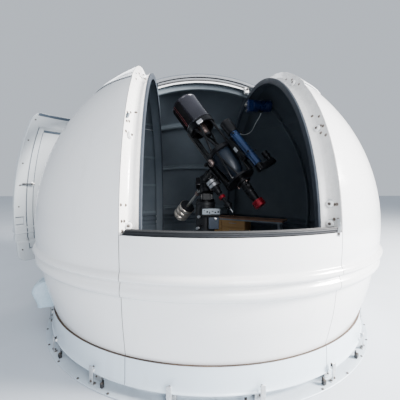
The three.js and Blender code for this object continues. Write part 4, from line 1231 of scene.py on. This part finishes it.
def hoop_hardware():
    for side, tag in SIDES:
        heads, stains = [], []
        for x, angle in HOOP_BOLTS[tag]:
            at = hoop_place(side, x, angle)
            heads += hexagon(at, (0, 0, 0.0004), (0, 0, 1), 0.0095, 0.0055)
            stains.append(turned_mesh(at, mm(-0.4, 0, -0.4, 10.5, 0.6, 9.5, 0.6, 0), 16))
        dome.gather(f"hoop_bolts_{tag}", heads, BOLT)
        dome.gather(f"hoop_bolt_stains_{tag}", stains, RUST)
        for k, (x, angle) in enumerate(HOOP_ROLLERS[tag]):
            at = hoop_place(side, x, angle)
            axis = at.to_3x3() @ V(0, 0, 1)
            dome.turned(f"guide_roller_{tag}_{k + 1}", at @ V(0, 0, 0.003), axis,
                mm(0, 4.5, 0, 18.5, 2, 20.2, 6, 20.6, 11, 20.6, 14.5, 19.6, 16.5, 17, 17.5, 4.5), NYLON, 36,
                closed=True)
            dome.turned(f"guide_roller_stud_{tag}_{k + 1}", at @ V(0, 0, -0.002), axis,
                mm(0, 4.4, 21, 4.4, 21, 8.8, 22.2, 9.2, 22.6, 6.2, 28, 6, 28.5, 5), BOLT, 18, angle=30)
            dome.box(f"roller_plate_{tag}_{k + 1}", (-0.0105, -0.021, 0.0002), (0.0135, 0.027, 0.0022), ZINC, at,
                0.0008, slot="shell")
    # Strap that ties the right hoop's foot to the front panel past the sill's end
    strap = [V(0.601, -1.401, 1.029), V(0.5895, -1.4385, 0.979), V(0.5745, -1.45, 0.932)]
    for k in range(2):
        a, b = strap[k], strap[k + 1]
        at = basis(a, b - a, (-0.5, -0.85, 0))
        dome.box(f"foot_strap_{k + 1}", (-0.0015, -0.0075, 0), (0.0015, 0.0075, (b - a).length + 0.001), ZINC, at,
            0.0008, slot="steel")
    tie = []
    for place in (strap[0] + V(-0.002, -0.004, -0.008), strap[2] + V(0.0024, 0.002, 0.012)):
        tie += hexagon(GROUND, place, (-0.5, -0.85, 0), 0.009, 0.003)
    dome.gather("foot_strap_bolts", tie, BOLT)


hoop_hardware()


# Pier and equatorial mount
HEAD = V(0, 0, 1.24)
LATITUDE, HOUR = radians(48), radians(66)
POLAR = V(0, cos(LATITUDE), sin(LATITUDE))
DEC = V(1, 0, 0) * cos(HOUR) + V(1, 0, 0).cross(POLAR) * sin(HOUR)
SIGHT = V(-0.502, 0.393, 0.77)
SIGHT = (SIGHT - DEC * SIGHT.dot(DEC)).normalized()
TEL = basis(HEAD + DEC * 0.386, SIGHT, DEC)
TURN = TEL.to_3x3()


def tel(x, y, s):
    return TEL @ V(x, y, s)


def spoke(degrees, radius, s):
    return tel(radius * cos(radians(degrees)), radius * sin(radians(degrees)), s)


def along_tube(name, x, y, profile, material, segments=36, **options):
    return scope.turned(name, tel(x, y, 0), SIGHT, profile, material, segments, **options)


def pier():
    base.turned("pier_column", (0, 0, 0), (0, 0, 1), mm(0, 188, 2, 190, 18, 190, 20, 188, 20, 112, 34, 101.2, 40, 100,
        1000, 100, 1010, 101, 1014, 108, 1038, 108, 1040, 106), PIER, 56, replaces="pier", slot="pier")
    bolts = []
    for k in range(6):
        a = radians(30 + 60 * k)
        bolts += hexagon(GROUND, (0.155 * cos(a), 0.155 * sin(a), 0.02), (0, 0, 1), 0.022, 0.013)
    base.gather("pier_bolts", bolts, BOLT)
    for k in range(4):
        at = Matrix.Rotation(radians(45 + 90 * k), 4, "Z")
        verts = [at @ V(r, y, z) for y in (-0.004, 0.004) for r, z in ((0.099, 0.02), (0.178, 0.02), (0.178, 0.03),
            (0.099, 0.15))]
        faces = [(0, 1, 2, 3), (7, 6, 5, 4), (0, 4, 5, 1), (1, 5, 6, 2), (2, 6, 7, 3), (3, 7, 4, 0)]
        base.mesh(f"pier_gusset_{k + 1}", verts, faces, PIER, bevel=0.001, slot="pier")
    # Control unit and power box on the pier's front, with three clamps on the column
    at = Matrix.Translation((0.041, -0.128, 0.942)) @ Matrix.Rotation(radians(4), 4, "Z")
    base.box("controller_case", (-0.098, -0.02, -0.044), (0.098, 0.03, 0.042), BLACK, at, 0.005)
    base.box("controller_face", (-0.092, -0.0218, -0.022), (0.092, -0.0195, 0.036), PANEL, at, 0.001)
    for k, (x, z, w, h) in enumerate(((-0.078, 0.02, 0.012, 0.008), (-0.05, 0.004, 0.016, 0.016),
            (-0.022, -0.004, 0.01, 0.022), (0.004, 0.01, 0.02, 0.008), (0.034, -0.002, 0.016, 0.016),
            (0.064, 0.002, 0.018, 0.016))):
        base.box(f"controller_key_{k + 1}", (x, -0.0234, z - h / 2), (x + w, -0.0215, z + h / 2), BLACK, at, 0.001)
    base.box("power_box", (0.012, -0.142, 0.762), (0.126, -0.09, 0.894), PIER, None, 0.006)
    base.box("power_box_lid", (0.018, -0.1445, 0.77), (0.12, -0.1415, 0.886), BLUE_GREY, None, 0.002)
    base.turned("power_socket", (0.088, -0.144, 0.872), (0, -1, 0), mm(0, 13, 8, 13, 10, 9), PALE_METAL, 20)
    for k, (x, z) in enumerate(((-0.068, 0.89), (-0.046, 0.8), (-0.078, 0.77))):
        base.turned(f"pier_clamp_{k + 1}", (x, -sqrt(0.1 ** 2 - x * x) + 0.002, z), (x * 8, -1, 0),
            mm(0, 12, 10, 13, 14, 8, 26, 8, 28, 15, 36, 15), PALE_METAL if k != 1 else BLACK, 20, slot="steel")


def mount():
    base.turned("mount_foot", (0, 0, 1.0404), (0, 0, 1), mm(0, 93, 2, 95, 12, 95, 13.5, 93.5, 16.5, 93.5, 18, 95, 28,
        95, 30, 92), BLACK, 48, replaces="mount_base")
    base.box("mount_wedge", (-0.049, -0.124, 1.06), (0.049, 0.014, 1.139), BLACK, None, 0.008)
    for side, tag in SIDES:
        verts = [(0.045, -0.118, 1.07), (0.045, 0.012, 1.07), (0.045, 0.022, 1.124), (0.045, -0.062, 1.19),
            (0.045, -0.112, 1.16)]
        verts = [V(side * (x + dx), y, z) for dx in (0, 0.013) for x, y, z in verts]
        faces = [tuple(range(5)), tuple(range(9, 4, -1))] + [(k, (k + 1) % 5, (k + 1) % 5 + 5,
            k + 5) for k in range(5)]
        base.mesh(f"mount_cheek_{tag}", verts, faces, BLACK, bevel=0.004)
        base.turned(f"altitude_bolt_{tag}", (side * 0.058, -0.055, 1.15), (side, 0, 0),
            mm(0, 17, 4, 18, 12, 18, 14, 15), STEEL, 24)
    base.turned("polar_bearing", HEAD, POLAR, mm(-165, 0, -165, 60, -160, 68, -150, 70, -118, 70, -116, 66, -108, 66,
        -106, 70, -64, 70, -61, 68, -60.3, 0), BLACK, 48)
    ra_axis.turned("ra_housing", HEAD, POLAR, mm(-60, 72, -58, 74, -40, 74, -38, 71.5, -32, 71.5, -30, 74, 46, 74, 52,
        72, 59, 62, 61, 50, 66, 48), BLACK, 56, replaces="mount_ra_head")
    ra_axis.turned("dec_barrel", HEAD, DEC, mm(-110, 44, -106, 50, -94, 58, -86, 60, 40, 60, 46, 59.5, 104, 59.5, 108,
        60, 118, 60, 120, 57.2, 126, 57.2, 128, 60, 148, 60, 150, 58), BLACK, 48)
    drive = basis(HEAD, DEC, POLAR)
    ra_axis.box("dec_drive_box", (0.034, -0.036, -0.036), (0.09, 0.036, 0.096), BLACK, drive, 0.008)
    ra_axis.box("dec_drive_lid", (0.0895, -0.03, -0.028), (0.093, 0.03, 0.088), PIER, drive, 0.001)
    ra = basis(HEAD, POLAR, (-1, 0, 0))
    ra_axis.box("ra_drive_box", (0.05, -0.036, -0.056), (0.104, 0.036, 0.05), BLACK, ra, 0.008)
    ring = []
    for k in range(8):
        a = radians(45 * k + 20)
        side = drive.to_3x3() @ V(cos(a), sin(a), 0)
        ring += hexagon(GROUND, HEAD + DEC * 0.134 + side * 0.0598, side, 0.007, 0.004, False)
    ra_axis.gather("dec_flange_screws", ring, BOLT)


def counterweights():
    clamp = HEAD - DEC * 0.1105
    scope.turned("balance_shaft", clamp, -DEC, mm(0, 0, 0, 30, 4, 32, 20, 32, 24, 28, 30, 20, 34, 16, 546, 16, 549,
        14, 549.5, 0), STEEL, 28, replaces="counterweights")
    scope.turned("balance_shaft_collar", clamp - DEC * 0.06, -DEC, mm(0, 16.1, 0, 23, 2, 24.5, 34, 24.5, 36, 23, 36,
        16.1), BRONZE, 28, closed=True)
    wide, r = 0.06, 0.09
    for k in range(3):
        scope.turned(f"counterweight_{k + 1}", HEAD - DEC * (0.44 + 0.068 * k), -DEC,
            [(0, 0.0162), (0, r - 0.01), (0.005, r - 0.0025), (0.009, r), (wide - 0.009, r),
            (wide - 0.005, r - 0.0025), (wide, r - 0.01), (wide, 0.0162)], BRASSY, 56, closed=True)
        # Black disc in the gap between two weights: painted shade.
        scope.turned(f"counterweight_gap_painted_shade_{k + 1}", HEAD - DEC * (0.44 + 0.068 * k + wide), -DEC,
            [(0, 0.0162), (0, r - 0.022), (0.008, r - 0.022), (0.008, 0.0162)], MATT_BLACK, 40, closed=True)
    # Dark disc over the weights' end face: painted shade.
    scope.turned("counterweight_face_painted_shade", HEAD - DEC * 0.4385, -DEC, [(0, 0.0165), (-0.001, 0.034), (0, r - 0.008),
        (0.0014, r - 0.007), (0.0014, 0.0165)], PIER, 48, closed=True)
    scope.turned("counterweight_collar", HEAD - DEC * 0.6445, -DEC, mm(0, 16.2, 0, 26, 2, 28, 11, 28, 13, 26, 13,
        16.2), BLACK, 32, closed=True)


def ring_band(name, s0, s1, radius, bore, material=BLACK, x=0.0, y=0.0):
    e = min(0.0025, (s1 - s0) * 0.2)
    return along_tube(name, x, y, [(s0, radius - e), (s0 + e, radius), (s1 - e, radius), (s1, radius - e),
        (s1, bore + e), (s1 - e, bore), (s0 + e, bore), (s0, bore + e)], material, 56, closed=True)


def rod_mesh(a, b, radius, segments=14):
    return turned_mesh(basis(a, b - a), rounded((b - a).length, radius, radius * 0.25), segments)


def tube_patch(name, x, radius, a0, a1, s0, s1, rise, material):
    """A thin curved strip on a tube whose axis is at (x, 0) in the telescope's frame."""
    angles = spread(radians(a0), radians(a1), 8)
    radii = (radius + rise, radius)
    grid = [[tuple(tel(x + r * cos(a), r * sin(a), s) for r in radii) for a in angles] for s in (s0, s1)]
    return scope.thick(name, [grid], material)


def telescope():
    scope.turned("saddle_neck", HEAD + DEC * 0.1504, DEC, mm(0, 54, 2, 56, 12, 56, 16, 50, 34, 50, 38, 56, 46.5, 56,
        61.8, 54), BLACK, 44, replaces="saddle")
    scope.box("saddle_plate", (-0.1905, -0.06, -0.11), (-0.1738, 0.06, 0.11), BLACK, TEL, 0.004)
    for k, s in enumerate((-0.08, 0.08)):
        scope.turned(f"saddle_knob_{k + 1}", tel(-0.182, -0.06, s), TURN @ V(0, -1, 0),
            mm(0, 6, 12, 6, 14, 15, 28, 16, 31, 12), BLACK, 12, angle=20)
    scope.box("dovetail_plate", (-0.173, -0.038, -0.2725), (-0.1456, 0.038, 0.5085), BLACK, TEL, 0.003,
        replaces="dovetail_bar")
    # Front tube with rolled rims; along its side a dark band with two thin red lines, a painted reflection
    profile = mm(449.6, 141, 449.6, 143.2, 452, 145, 460, 145, 462, 143.6, 737, 143.6, 739, 145, 752, 145, 754, 143.2,
        754, 140.5, 752, 139, 453, 139)
    verts, faces = turned_mesh(basis(tel(0, 0, 0), SIGHT), profile, 72, True)
    marks = [1 if k // 72 >= 8 else 0 for k in range(len(faces))]
    scope.mesh("front_tube", verts, faces, [TUBE, MATT_BLACK], marks, angle=25, replaces="telescope_front_tube")
    tube_patch("tube_painted_dark_reflection", 0, 0.1434, 206, 293, 0.464, 0.735, 0.001, MATT_BLACK)
    for k, a in enumerate((256.0, 264.0)):
        tube_patch(f"tube_painted_red_reflection_{k + 1}", 0, 0.1446, a, a + 1.8, 0.466, 0.733, 0.001, RED_PAINTED_REFLECTION)
    # Truss: end ring, eight rods with sockets, the ring amidships, and shorter rods to the back plate
    ring_band("truss_front_ring", 0.39, 0.4488, 0.1425, 0.116)
    rods, sockets, ties = [], [], []
    for k in range(8):
        lean = 1 if k % 2 == 0 else -1
        a, b = spoke(45 * k + 4 * lean, 0.128, 0.436), spoke(45 * k + 40 * lean, 0.128, 0.072)
        rods.append(rod_mesh(a, b, 0.0105))
        way = (b - a).normalized()
        sockets += [rod_mesh(a, a + way * 0.034, 0.015), rod_mesh(b - way * 0.04, b, 0.015)]
        a, b = spoke(45 * k + 26 * lean, 0.131, 0.06), spoke(45 * k + 8 * lean, 0.131, -0.2495)
        ties.append(rod_mesh(a, b, 0.009))
    scope.gather("truss_rods", rods, BLACK, replaces="telescope_truss")
    scope.gather("truss_sockets", sockets, BLACK)
    scope.gather("rear_rods", ties, BLACK)
    ring_band("truss_mid_ring", 0.049, 0.089, 0.145, 0.108)
    at = basis(spoke(312, 0.141, 0.396), spoke(312, 1, 0) - tel(0, 0, 0), SIGHT)
    scope.box("front_ring_bracket", (-0.018, -0.03, -0.004), (0.02, 0.03, 0.018), PALE_METAL, at, 0.004)
    # Secondary holder: vanes, hub and its turned baffle
    along_tube("secondary_baffle", 0, 0, mm(320, 36, 323, 39, 348, 42, 352, 44, 376, 44, 380, 47, 436, 47, 440, 44),
        DARK_BRONZE, 40)
    along_tube("secondary_hood", 0, 0, mm(296, 38, 298, 41, 319.5, 41), BLACK, 40)
    for k in range(4):
        turn = TEL @ Matrix.Rotation(radians(45 + 90 * k), 4, "Z")
        scope.box(f"secondary_vane_{k + 1}", (0.044, -0.0009, 0.4), (0.1395, 0.0009, 0.44), BLACK, turn, 0.0003)
    # Mirror box: a lacquered cone between the mid ring and the back plate
    cone = mm(48.4, 0, 48.4, 104, 45, 113, 30, 117)
    cone += [(0.03 - 0.24 * sin(radians(7 * k)) / 0.94, 0.03 + 0.087 * cos(radians(7 * k))) for k in range(1, 11)]
    cone += [(-0.2506, 0.058), (-0.2506, 0)]
    along_tube("mirror_cone", 0, 0, cone, CONE_BLUE, 64, replaces="telescope_mirror_cell")
    ring_band("back_plate", -0.2728, -0.2512, 0.145, 0.02)
    knob = mm(0, 0, 0, 12, 10, 13, 16, 10.5, 17, 0)
    knobs = [turned_mesh(basis(spoke(45 * k + 8, 0.112, -0.251), SIGHT), knob, 18) for k in (5, 6)]
    scope.gather("back_plate_knobs", knobs, PALE_METAL)
    # Clamp knob on the mid ring, on a block with a slot
    at = spoke(248, 0.145, 0.012)
    out = (at - tel(0, 0, 0.012)).normalized()
    scope.box("mid_ring_clamp_block", (-0.026, -0.022, -0.022), (0.058, 0.022, 0.0), BLACK, basis(at, out, SIGHT),
        0.004)
    scope.turned("mid_ring_clamp", at - out * 0.004, out, mm(0, 0, 0, 28, 6, 37, 18, 40, 26, 36, 30, 28, 30.5, 0),
        BRONZE, 10, angle=20)
    scope.box("mid_ring_clamp_slot", (-0.024, -0.0035, -0.003), (0.024, 0.0035, 0.0045), BLACK,
        basis(at + out * 0.0265, out, SIGHT), 0.001)
    # Guide telescope with dew shield, rings, and a diagonal at its tail
    g = 0.242
    along_tube("guide_tube", g, 0, mm(-290, 38, -288, 40, -276, 40, -274, 39.2, 75, 39.2, 77, 40, 99.5, 40), BLUE, 48,
        replaces="guide_telescope")
    along_tube("guide_dew_shield", g, 0, mm(86, 40.5, 86, 47, 90, 51, 100, 53, 214, 53, 217, 55, 223, 55, 225, 53.5,
        225, 51, 223, 49, 130, 48, 106, 40.5), BLACK, 48, closed=True)
    along_tube("guide_lens", g, 0, mm(100, 0, 100, 40, 108, 40, 113, 30, 115.5, 14, 116, 0), GLASS, 40)
    along_tube("guide_tail", g, 0, mm(-350, 28, -348, 30, -326, 30, -324, 33, -306, 33, -304, 36, -290.4, 37), BLACK,
        36)
    scope.box("guide_rail", (0.1456, -0.03, -0.2725), (0.1612, 0.03, 0.0885), BLACK, TEL, 0.003,
        replaces="guide_bracket")
    for k, s in enumerate((0.046, -0.174)):
        ring_band(f"guide_strap_{k + 1}", s, s + 0.024, 0.0418, 0.0403, BLUE, g)
        scope.box(f"guide_ring_foot_{k + 1}", (0.1605, -0.024, s - 0.004), (0.196, 0.024, s + 0.028), BLACK, TEL,
            0.003)
        thumbs = []
        for j in range(3):
            a = radians(60 + 120 * j)
            way = TURN @ V(cos(a), sin(a), 0)
            thumbs.append(turned_mesh(basis(tel(g, 0, s + 0.012) + way * 0.054, way),
                mm(0, 4, 9, 4, 11, 10, 19, 10, 21, 8), 14))
        scope.gather(f"guide_thumbscrews_{k + 1}", thumbs, BLACK)
    scope.box("guide_side_plate", (0.15, -0.0345, -0.15), (0.206, -0.03, 0.04), BLACK, TEL, 0.004)
    scope.box("guide_plate_blank", (0.158, -0.036, -0.075), (0.188, -0.034, -0.025), PALE_METAL, TEL, 0.001)
    elbow = tel(g, 0, -0.33)
    side_way = (TURN @ V(0.46, 0.89, 0)).normalized()
    frame_at = basis(elbow, side_way, SIGHT)
    scope.box("guide_diagonal", (-0.028, -0.027, -0.034), (0.026, 0.027, 0.15), BLACK, frame_at, 0.007)
    scope.turned("guide_eyepiece", elbow + side_way * 0.122 + SIGHT * 0.024, SIGHT,
        mm(0, 26, 14, 26, 16, 22, 32, 22, 34, 30, 56, 30, 60, 26, 70, 25, 74, 29, 90, 29, 92, 25), BLACK, 32)
    # Focuser behind the back plate with its flange, and the camera at its end
    along_tube("focuser_body", 0, 0, mm(-273.3, 50, -276, 52, -298, 52, -300, 73, -302, 75, -313, 75, -315.5, 73,
        -316.5, 47, -330, 45, -346, 45, -348, 42, -354, 42, -356, 45, -392, 45, -396, 40, -402, 40, -404, 44, -420,
        44, -426, 42, -428, 40, -470, 40, -472, 37, -496, 37, -498, 33, -508, 33, -510, 40, -515.6, 40), BLACK, 44,
        replaces="focuser")
    pinion = TURN @ V(0.8, -0.6, 0)
    for k, (s, reach, r) in enumerate(((-0.372, 0.072, 0.016), (-0.344, 0.066, 0.008))):
        scope.turned(f"focuser_pinion_{k + 1}", tel(0, 0, s) - pinion * reach, pinion,
            [(0, 0), (0, r - 0.002), (0.002, r), (0.016, r), (0.018, 0.0065), (2 * reach - 0.018, 0.0065),
            (2 * reach - 0.016, r), (2 * reach - 0.002, r), (2 * reach, r - 0.002), (2 * reach, 0)], BLACK, 24)
    screws = [rod_mesh(spoke(a, 0.064, -0.315), spoke(a, 0.064, -0.334), 0.006) for a in (215, 335, 95)]
    scope.gather("collimation_screws", screws, BRONZE)
    ribs = mm(-586, 0, -586, 47, -583, 52)
    for k in range(4):
        s = -0.579 + 0.0115 * k
        ribs += [(s, 0.055), (s + 0.0068, 0.055), (s + 0.0078, 0.051), (s + 0.0105, 0.051)]
    ribs += mm(-530, 55, -520, 54, -516, 48, -516, 0)
    along_tube("camera_body", 0, 0, ribs, RED, 48, angle=25, replaces="camera")
    # Small finder beside the saddle: bright ringed clamp, red ring, and a slim tail with its drum
    fx, fy = -0.243, -0.082
    along_tube("finder_body", fx, fy, mm(-236, 26, -232, 30, -190, 34, -186, 40, -84, 40, -82, 44, -70, 46, -66, 43),
        BLACK, 40)
    for k, s in enumerate((-0.152, -0.11)):
        ring_band(f"finder_ring_{k + 1}", s, s + 0.034, 0.055, 0.0402, PALE_METAL, fx, fy)
    ring_band("finder_red_ring", -0.292, -0.262, 0.034, 0.0185, RED, fx, fy)
    along_tube("finder_tail", fx, fy, mm(-420, 12, -416, 14, -340, 14, -338, 18, -240, 18, -236.2, 14), BLACK, 24)
    along_tube("finder_pin", fx, fy, mm(-462, 5, -460, 6.5, -420.2, 6.5), PALE_METAL, 18)
    ring_band("finder_drum", -0.4, -0.352, 0.036, 0.0142, BLACK, fx, fy)
    scope.box("finder_foot", (-0.215, -0.075, -0.158), (-0.176, -0.04, -0.078), BLACK, TEL, 0.004)


def bench():
    at = around(144)
    half = 0.55
    base.box("bench_board", (-half, 1.0785, 0.722), (half, 1.3475, 0.75), BOARD, at, 0.003, replaces="bench_top")
    base.box("bench_edge", (-half, 1.0745, 0.711), (half, 1.0785, 0.73), LEG, at, 0.001)
    top, low = 0.7212, 0.392
    base.box("drawer_case", (-0.03, 1.092, low), (half - 0.02, 1.3275, top), DRAWER, at, 0.002,
        replaces="bench_drawers")
    for column, (x0, x1) in enumerate(((-0.024, 0.335), (0.341, 0.524))):
        for k in range(3):
            z1 = top - 0.006 - 0.108 * k
            base.box(f"drawer_front_{column + 1}_{k + 1}", (x0, 1.0785, z1 - 0.103), (x1, 1.0925, z1), DRAWER, at,
                0.003)
            mid, z = (x0 + x1) / 2, z1 - 0.04
            half_line = ((0.055, 1.079, 0), (0.054, 1.064, 0), (0.03, 1.059, -0.001))
            points = [at @ V(mid - x, y, z + dz) for x, y, dz in (*half_line, (0, 1.058, -0.002))]
            points += [at @ V(mid + x, y, z + dz) for x, y, dz in reversed(half_line)]
            base.tube(f"drawer_handle_{column + 1}_{k + 1}", [tuple(p) for p in points], 0.003, STEEL)
    for name, x0, x1, node in (("far", -half + 0.03, -half + 0.07, "bench_leg_far"),
            ("near", half - 0.09, half - 0.05, "bench_leg_near")):
        z1 = 0.7215 if name == "far" else 0.3912
        base.box(f"leg_front_{name}", (x0, 1.098, 0.012), (x1, 1.138, z1), LEG, at, 0.004, replaces=node)
        base.box(f"leg_back_{name}", (x0, 1.208, 0.012), (x1, 1.248, z1), LEG, at, 0.004)
        base.box(f"leg_rail_{name}", (x0 + 0.008, 1.137, 0.12), (x1 - 0.008, 1.209, 0.15), LEG, at, 0.003)
        for k, y in enumerate((1.118, 1.228)):
            foot = at @ V((x0 + x1) / 2, y, 0.0)
            base.turned(f"leg_foot_{name}_{k + 1}", foot, (0, 0, 1), mm(0, 20, 2, 22, 6, 22, 8, 9, 13, 9), RUBBER, 24)


pier()
mount()
counterweights()
telescope()
bench()
for node, material in (("motor_cable", LEAD), ("door_hinge_1", ZINC), ("door_hinge_2", ZINC)):
    NODES[node].data.materials.clear()
    NODES[node].data.materials.append(material)


# Stage, light and camera
def stage_and_light():
    mesh = bpy.data.meshes.new("floor")
    mesh.from_pydata([(-30, -30, -0.001), (30, -30, -0.001), (30, 30, -0.001), (-30, 30, -0.001)], [], [(0, 1, 2, 3)])
    floor = bpy.data.objects.new("floor", mesh)
    bpy.context.scene.collection.objects.link(floor)
    n = Nodes("floor_pale")
    colour = n.mix(n.spread(n.noise(1.5, 3), 0, 1), (0.56, 0.6, 0.65), (0.53, 0.57, 0.62))
    mesh.materials.append(n.finish(colour, 0.75))
    world = bpy.data.worlds.new("studio")
    bpy.context.scene.world = world
    world.use_nodes = True
    background = world.node_tree.nodes["Background"]
    background.inputs["Color"].default_value = (0.8, 0.87, 0.96, 1)
    background.inputs["Strength"].default_value = 0.78

    def area(name, place, target, size, power, colour):
        light = bpy.data.lights.new(name, "AREA")
        light.shape, light.size, light.size_y = "RECTANGLE", *size
        light.energy, light.color = power, colour
        obj = bpy.data.objects.new(name, light)
        obj.matrix_world = basis(place, Vector(place) - Vector(target))
        bpy.context.scene.collection.objects.link(obj)

    area("key", (7.6, -3.0, 4.6), (0, 0, 0.9), (2.6, 2.6), 4800, (1.0, 0.97, 0.94))
    area("fill", (2.2, -7.5, 3.4), (0, 0, 1.0), (3.5, 3.5), 620, (0.97, 0.98, 1.0))
    area("back", (-1.5, 5.5, 4.5), (0, 0, 1.2), (4.0, 2.5), 150, (0.95, 0.97, 1.0))
    # The camera that was fitted to the photo
    camera = bpy.data.cameras.new("camera")
    camera.sensor_width = 36.0
    camera.lens = 24.15
    camera.clip_end = 100
    obj = bpy.data.objects.new("camera", camera)
    forward = V(0.0914, 0.99448, -0.05162).normalized()
    right = V(cos(0.0917), -sin(0.0917), 0)
    up = right.cross(forward).normalized()
    right = forward.cross(up).normalized()
    roll = 0.0024
    tilted_right = right * cos(roll) + up * sin(roll)
    tilted_up = up * cos(roll) - right * sin(roll)
    matrix = Matrix((tilted_right, tilted_up, -forward)).transposed().to_4x4()
    matrix.translation = V(-0.3197, -2.8408, 1.2062)
    obj.matrix_world = matrix
    bpy.context.scene.collection.objects.link(obj)
    bpy.context.scene.camera = obj


stage_and_light()
bpy.context.view_layer.update()
